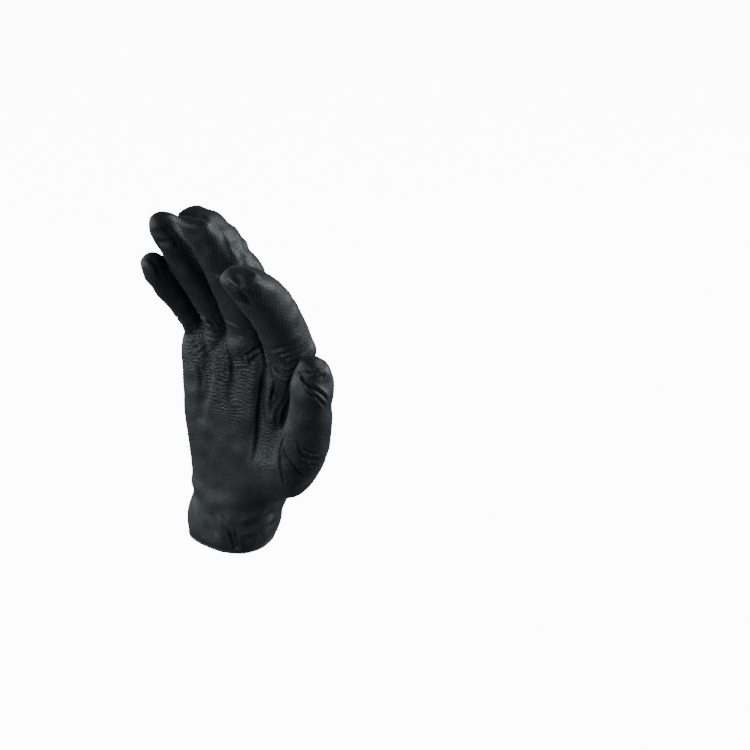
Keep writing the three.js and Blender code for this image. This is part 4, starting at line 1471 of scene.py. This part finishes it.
@dataclass
class Film:
    """The dipped film: outside, lining and rolled rim, as one closed mesh.

    thickness is the distance from the outside to the lining, rim_height the level at which the
    film ends inside its rolled edge, and outside_faces and lining_faces are counts of triangles.
    voxel is the grain at which the lofts are fused, and palm_grid and digit_grid the rings and
    sides of each loft. smoothing, settling and easing are the share and the passes by which
    the fused skin, the skin with its creases and the lining are relaxed. The skin counts as
    hollow from fillet_start, rising by fillet_gain, and this is spread fillet_spread times and
    raised by fillet_full before fillet_times passes, each of the share fillet_pace, fill the corners.
    mark_reach is how far the dense
    skin's points are looked for when its crease depths are written.
    """

    palm: PalmForm = PalmForm()
    thickness: float = 1.0
    bead_radius: float = 1.15
    rim_height: float = 1.15
    outside_faces: int = 158000
    lining_faces: int = 30000
    bead_steps: int = 220
    bead_sides: int = 12
    voxel: float = 0.75
    palm_grid: tuple[int, int] = (150, 160)
    digit_grid: tuple[int, int] = (90, 64)
    smoothing: tuple[float, int] = (0.5, 5)
    settling: tuple[float, int] = (0.35, 1)
    easing: tuple[float, int] = (0.4, 2)
    fillet_start: float = 0.1
    fillet_gain: float = 9.0
    fillet_spread: int = 10
    fillet_full: float = 2.2
    fillet_pace: float = 0.5
    fillet_times: int = 26
    mark_reach: float = 2.5
    skin: Surface | None = None
    press: Array | None = None

    def form(self) -> Surface:
        """Overlapping closed lofts of the palm and the digits."""
        return Surface.joined(
            [self.palm.surface(*self.palm_grid)] + [digit.surface(*self.digit_grid) for digit in DIGITS]
        )

    def fuse(self) -> Surface:
        """One skin round all the lofts, evened out, with the corners between digits filled.

        Where the step to the neighbours' mean points outward the skin is hollow, and it is
        relaxed there many times, so that sharp corners between two lofts become fillets. The
        nudges and the easings follow.

        Returns:
            The skin.
        """
        skin = reworked(self.form(), "REMESH", {"mode": "VOXEL", "voxel_size": self.voxel * MM})
        skin.relax(*self.smoothing)
        outward = (skin.pull() * skin.normals()).sum(axis=1)
        hollow = np.clip(outward * self.fillet_gain - self.fillet_start, 0, 1)
        hollow = np.clip(skin.spread(hollow, self.fillet_spread) * self.fillet_full, 0, 1)
        skin.relax(self.fillet_pace, self.fillet_times, hollow)
        skin.points = nudged(skin.points)
        for easing in EASINGS:
            easing.ease(skin)
        return skin

    def wrinkle(self, skin: Surface) -> Array:
        """Presses the dents, waves and creases into the skin along its normals.

        Args:
            skin: the skin, which is changed.

        Returns:
            The depth of the creases at each point.
        """
        for group in (BROAD, WAVES):
            normals = skin.normals()
            depth = sum(item.press(skin.points, normals) for item in group)
            skin.points = skin.points - depth[:, None] * normals
        normals = skin.normals()
        creases = sum(item.press(skin.points, normals) for item in HOLLOWS + CREASES + BACK_CREASES)
        skin.points = skin.points - creases[:, None] * normals
        skin.relax(*self.settling)
        return creases

    def cut(self, surface: Surface, name: str) -> bmesh.types.BMesh:
        """Turns a skin into an editable mesh that ends at the rim's height.

        Args:
            surface: the skin.
            name: the name of the mesh that is made on the way.

        Returns:
            The editable mesh, open at the rim.
        """
        shape = bmesh.new()
        mesh = surface.mesh(name)
        shape.from_mesh(mesh)
        bpy.data.meshes.remove(mesh)
        bmesh.ops.bisect_plane(
            shape, geom=shape.verts[:] + shape.edges[:] + shape.faces[:],
            plane_co=(0, 0, self.rim_height * MM), plane_no=(0, 0, 1), clear_inner=True,
        )
        return shape

    def bead(self, rim: Array) -> Surface:
        """Rolled edge: a circle carried round the film's edge.

        The edge is read as a distance from its centre by angle, moved in by half the film.

        Args:
            rim: points of the outside's edge.

        Returns:
            The closed ring.
        """
        centre = rim[:, :2].mean(axis=0)
        offset = rim[:, :2] - centre
        angle = np.arctan2(offset[:, 1], offset[:, 0])
        order = np.argsort(angle)
        turn = np.linspace(-np.pi, np.pi, self.bead_steps, False)
        radius = np.interp(turn, angle[order], np.linalg.norm(offset, axis=1)[order], period=FULL_TURN)
        radius = (np.roll(radius, 1) + radius + np.roll(radius, -1)) / 3 - self.thickness / 2
        path = np.stack([centre[0] + radius * np.cos(turn), centre[1] + radius * np.sin(turn)], axis=-1)
        ahead = unit(np.roll(path, -1, axis=0) - np.roll(path, 1, axis=0))
        outward = np.stack([ahead[:, 1], -ahead[:, 0], np.zeros(len(path))], axis=-1)
        round_turn = np.linspace(0, FULL_TURN, self.bead_sides, False)
        middle = np.concatenate([path, np.full((len(path), 1), self.rim_height)], axis=1)
        ring = (
            middle[:, None]
            + self.bead_radius * np.cos(round_turn)[None, :, None] * outward[:, None]
            + self.bead_radius * np.sin(round_turn)[None, :, None] * np.array([0.0, 0.0, 1.0])
        )
        return Surface.lofted(ring[:, ::-1], ends_closed=False)

    def build(self) -> bpy.types.Object:
        """Makes the film's object.

        Returns:
            The object, with the depth of its creases in the attribute press and the share of
            the ripples in the attribute ripple.
        """
        self.skin = self.fuse()
        self.press = self.wrinkle(self.skin)
        dense = len(self.skin.quads) * 2
        outside = reworked(self.skin, "DECIMATE", {"ratio": self.outside_faces / dense})
        lining = reworked(outside, "DECIMATE", {"ratio": self.lining_faces / self.outside_faces})
        lining.relax(*self.easing)
        lining.points = lining.points - self.thickness * lining.normals()
        lining.tris = lining.tris[:, ::-1]
        lining.quads = lining.quads[:, ::-1]

        whole = self.cut(outside, "outside")
        rim = np.array([v.co[:] for v in whole.verts if v.is_boundary]) / MM
        inner = self.cut(lining, "lining")
        passing = bpy.data.meshes.new("passing")
        inner.to_mesh(passing)
        inner.free()
        whole.from_mesh(passing)
        bpy.data.meshes.remove(passing)
        bmesh.ops.bridge_loops(whole, edges=[e for e in whole.edges if e.is_boundary])
        bead = self.bead(rim).mesh("bead")
        whole.from_mesh(bead)
        bpy.data.meshes.remove(bead)
        bmesh.ops.triangulate(whole, faces=[f for f in whole.faces if len(f.verts) > 3])
        mesh = bpy.data.meshes.new("glove_film_skin")
        whole.to_mesh(mesh)
        whole.free()
        mesh.polygons.foreach_set("use_smooth", np.ones(len(mesh.polygons), bool))
        self.mark(mesh)
        film = bpy.data.objects.new("glove_film_skin", mesh)
        bpy.context.scene.collection.objects.link(film)
        return film

    def mark(self, mesh: bpy.types.Mesh) -> None:
        """Writes the attributes press and ripple into the mesh's points.

        press is the crease depth at the nearest point of the dense skin, and ripple the sum of
        the ripples' windows, at most 1.

        Args:
            mesh: the mesh, in metres.
        """
        points = Surface.read(mesh).points
        near, _ = nearest(points, self.skin.points, self.mark_reach)
        ripple = sum(patch.window(points) for patch in WAVES if isinstance(patch, Ripples))
        for name, values in (("press", self.press[near]), ("ripple", np.clip(ripple, 0, 1))):
            attribute = mesh.attributes.new(name, "FLOAT", "POINT")
            attribute.data.foreach_set("value", values.astype(np.float32))


# The grip


class Zone(Enum):
    """Parts of the glove whose pips make one mesh each."""

    PALM = "palm_grip_pips"
    DIGITS = "digit_grip_pips"


@dataclass
class GripPips:
    """Raised round pips in staggered rows all over the glove above its cuff.

    pitch is the distance between neighbours, radius and height the size of one pip, shoulder
    the shares of both at its inner ring, sunk how far its foot reaches below the film's face,
    and clear the least distance kept where the rows of two forms meet. The pips end on a line
    at the height foot plus slope times x, and most_gap is how far from the film a place may
    lie. halved gives the shares of the widest row below which a row holds half or a quarter
    of its places, girth_steps the points by which a row is measured, and search how far the
    nearest points are looked for. The rows run over digit_span of each digit, and over the
    palm from start below the line. across is a direction that no face of the film points in.
    """

    film: Film
    pitch: float = 2.43
    radius: float = 0.64
    height: float = 0.10
    shoulder: tuple[float, float] = (0.6, 0.76)
    sunk: float = 0.08
    sides: int = 8
    clear: float = 1.75
    most_gap: float = 1.7
    foot: float = 36.0
    slope: float = 0.17
    start: float = 8.0
    halved: tuple[float, float] = (0.72, 0.36)
    girth_steps: int = 240
    digit_span: tuple[float, float] = (0.02, 0.995)
    search: float = 3.0
    across: Triple = (0.31, 0.17, 0.93)

    def rows_on(self, form: PalmForm | DigitForm, length: float, start: float, end: float) -> Array:
        """Staggered lattice over one form.

        Rows lie a pitch times the root of three quarters apart. Each holds as many places as
        the pitch fits round it, in three steps of full, half and a quarter of the widest row,
        and every second row is turned by half a place.

        Args:
            form: the palm or a digit.
            length: the form's length.
            start: where the rows start, in the form's own measure.
            end: where they end.

        Returns:
            Places as rows of three numbers.
        """
        count = int(length / (self.pitch * math.sqrt(0.75)))
        along = np.linspace(start, end, count)
        fine = form.points(along, np.linspace(0, FULL_TURN, self.girth_steps, False))
        steps = np.linalg.norm(np.roll(fine, -1, axis=1) - fine, axis=-1)
        girth = steps.sum(axis=1)
        full = int(round(np.median(girth) / self.pitch))
        half, quarter = (share * full for share in self.halved)
        places = []
        for row in range(count):
            fit = girth[row] / self.pitch
            number = full if fit > half else (full // 2 if fit > quarter else full // 4)
            number = max(number, 4)
            share = ((np.arange(number) + 0.5 * (row % 2)) / number) % 1
            run = np.concatenate([[0], np.cumsum(steps[row])]) / girth[row]
            ring = np.concatenate([fine[row], fine[row][:1]])
            places.append(np.stack([np.interp(share, run, ring[:, axis]) for axis in range(3)], axis=-1))
        return nudged(np.concatenate(places))

    def places(self) -> dict[Zone, Array]:
        """All places, less those inside the glove, on the cuff or too close to others.

        Returns:
            The places of each zone.
        """
        palm, start = self.film.palm, self.foot - self.start
        groups = [(Zone.PALM, self.rows_on(palm, palm.top - self.foot, start, palm.top))]
        groups += [
            (Zone.DIGITS, self.rows_on(digit, digit.length, *self.digit_span)) for digit in DIGITS
        ]
        kept = {zone: np.zeros((0, 3)) for zone in Zone}
        for zone, group in groups:
            _, gap = nearest(group, self.film.skin.points, self.search)
            group = group[(gap < self.most_gap) & (group[:, 2] > self.foot + self.slope * group[:, 0])]
            laid = np.concatenate(list(kept.values()))
            if len(laid) and len(group):
                _, gap = nearest(group, laid, self.search)
                group = group[gap > self.clear]
            kept[zone] = np.concatenate([kept[zone], group])
        return kept

    def domes(self, places: Array) -> Surface:
        """Low domes on the film.

        Each place moves to the film's face along the nearest point's normal. A dome there has
        a foot ring sunk below the face, an inner ring, a crown point above and a hub below.

        Args:
            places: rows of three numbers.

        Returns:
            The domes, each closed.
        """
        skin, sides = self.film.skin, self.sides
        near, _ = nearest(places, skin.points, self.search)
        normal = skin.normals()[near]
        seat = places - ((places - skin.points[near]) * normal).sum(axis=1)[:, None] * normal
        side = unit(np.cross(normal, np.array(self.across)))
        across = np.cross(normal, side)
        turn = np.linspace(0, FULL_TURN, sides, False)
        spoke = self.radius * (
            np.cos(turn)[None, :, None] * side[:, None] + np.sin(turn)[None, :, None] * across[:, None]
        )
        foot = seat[:, None] + spoke - self.sunk * normal[:, None]
        inner = seat[:, None] + self.shoulder[0] * spoke
        inner = inner + self.shoulder[1] * self.height * normal[:, None]
        crown = (seat + self.height * normal)[:, None]
        hub = (seat - self.sunk * normal)[:, None]
        points = np.concatenate([foot, inner, crown, hub], axis=1)
        corner = np.arange(sides)
        after = np.roll(corner, -1)
        wall = np.stack([corner, after, after + sides, corner + sides], axis=-1)
        top = np.stack([corner + sides, after + sides, np.full(sides, 2 * sides)], axis=-1)
        base = np.stack([after, corner, np.full(sides, 2 * sides + 1)], axis=-1)
        starts = (np.arange(len(places)) * (2 * sides + 2))[:, None, None]
        quads = (wall[None] + starts).reshape(-1, 4)
        tris = (np.concatenate([top, base])[None] + starts).reshape(-1, 3)
        return Surface(points.reshape(-1, 3), quads, tris)

    def build(self) -> list[bpy.types.Object]:
        """Makes one object of pips for each zone.

        Returns:
            The objects.
        """
        made = []
        for zone, places in self.places().items():
            pips = bpy.data.objects.new(zone.value, self.domes(places).mesh(zone.value))
            bpy.context.scene.collection.objects.link(pips)
            made.append(pips)
        return made


# The studio


def aimed(thing: bpy.types.Object, place: Triple, aim: Triple) -> bpy.types.Object:
    """Links a light or a camera into the scene and aims it.

    Args:
        thing: the light or camera.
        place: where it stands.
        aim: the place that it looks at.

    Returns:
        The same object.
    """
    thing.location = place
    towards = Vector(aim) - Vector(place)
    thing.rotation_euler = towards.to_track_quat("-Z", "Y").to_euler()
    bpy.context.scene.collection.objects.link(thing)
    return thing


@dataclass(frozen=True)
class SoftLight:
    """Square soft light: where it stands, where it aims, its side and its power."""

    name: str
    place: Triple
    aim: Triple
    side: float
    power: float
    tint: Triple = (0.86, 0.95, 1.0)

    def build(self) -> bpy.types.Object:
        """Makes the light's object.

        Returns:
            The object.
        """
        data = bpy.data.lights.new(self.name, "AREA")
        data.color = self.tint
        data.shape = "SQUARE"
        data.size = self.side
        data.energy = self.power
        return aimed(bpy.data.objects.new(self.name, data), self.place, self.aim)


@dataclass(frozen=True)
class Studio:
    """Pale floor that runs into a dome, soft lights, faint surroundings and the camera.

    Sizes are in metres, and lens and sensor in millimetres. flat gives the rings between the
    floor's middle and the dome's foot, as shares of the dome's radius, and clip the nearest
    and the farthest that the camera sees.
    """

    floor_height: float = -0.16
    dome_radius: float = 5.0
    dome_sides: int = 64
    dome_rings: int = 24
    flat: tuple[float, ...] = (0.02, 0.5)
    finish: PaleFinish = PaleFinish()
    surround: float = 0.085
    eye: Triple = (0.5198, -0.5767, 0.4692)
    aim: Triple = (0.0715, 0.0546, 0.108)
    lens: float = 68.54
    sensor: float = 36.0
    clip: tuple[float, float] = (0.01, 50.0)
    lights: tuple[SoftLight, ...] = (
        SoftLight("left_light", (-1.43, -0.38, 0.3), (0.0, 0.0, 0.11), 1.1, 13.0),
        SoftLight("front_light", (-0.6, -1.36, 0.35), (0.0, 0.0, 0.11), 1.1, 11.5),
        SoftLight("back_light", (0.95, 1.02, 0.5), (0.0, 0.0, 0.12), 1.1, 28.0),
        SoftLight("low_light", (0.75, -1.3, 0.0), (0.0, 0.0, 0.11), 1.1, 2.3),
    )

    def cove(self) -> bpy.types.Object:
        """Pale floor that runs on into a pale dome.

        The rings are circles: at the floor's height from the middle out, then up a half sphere
        with radius times cosine across and radius times sine up.

        Returns:
            The object, which no other face mirrors or takes light from.
        """
        rise = np.linspace(0, np.pi / 2, self.dome_rings)
        across = np.concatenate([self.flat, np.cos(rise)]) * self.dome_radius / MM
        height = np.concatenate([np.zeros(len(self.flat)), np.sin(rise)]) * self.dome_radius / MM
        height = height + self.floor_height / MM
        across[-1] = across[0]
        turn = np.linspace(0, FULL_TURN, self.dome_sides, False)
        grid = np.stack([
            across[:, None] * np.cos(turn), across[:, None] * np.sin(turn),
            np.broadcast_to(height[:, None], (len(height), self.dome_sides)),
        ], axis=-1)
        cove = bpy.data.objects.new("floor", Surface.lofted(grid[:, ::-1]).mesh("floor"))
        bpy.context.scene.collection.objects.link(cove)
        cove.data.materials.append(self.finish.material())
        cove.visible_diffuse = False
        cove.visible_glossy = False
        return cove

    def build(self) -> None:
        """Makes the floor, the lights, the surroundings and the camera."""
        self.cove()
        for light in self.lights:
            light.build()
        world = bpy.data.worlds.new("surroundings")
        world.use_nodes = True
        sky = next(n for n in world.node_tree.nodes if n.type == "BACKGROUND")
        sky.inputs["Color"].default_value = (1.0, 1.0, 1.0, 1.0)
        sky.inputs["Strength"].default_value = self.surround
        bpy.context.scene.world = world
        data = bpy.data.cameras.new("camera")
        data.lens = self.lens
        data.sensor_width = self.sensor
        data.clip_start, data.clip_end = self.clip
        camera = aimed(bpy.data.objects.new("camera", data), self.eye, self.aim)
        bpy.context.scene.camera = camera


def main() -> None:
    """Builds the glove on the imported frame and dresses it."""
    logging.basicConfig(level=logging.INFO, format="%(name)s: %(message)s")
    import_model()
    Studio().build()

    finish = NitrileFinish().material()
    film = Film()
    skin = film.build()
    skin.data.materials.append(finish)
    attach(skin, "root")
    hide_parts("glove_film")
    LOG.info("glove_film_skin: %d triangles", len(skin.data.polygons))

    for pips in GripPips(film).build():
        pips.data.materials.append(finish)
        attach(pips, "root")
        pips.data.calc_loop_triangles()
        LOG.info("%s: %d triangles", pips.name, len(pips.data.loop_triangles))


if __name__ == "__main__":
    main()
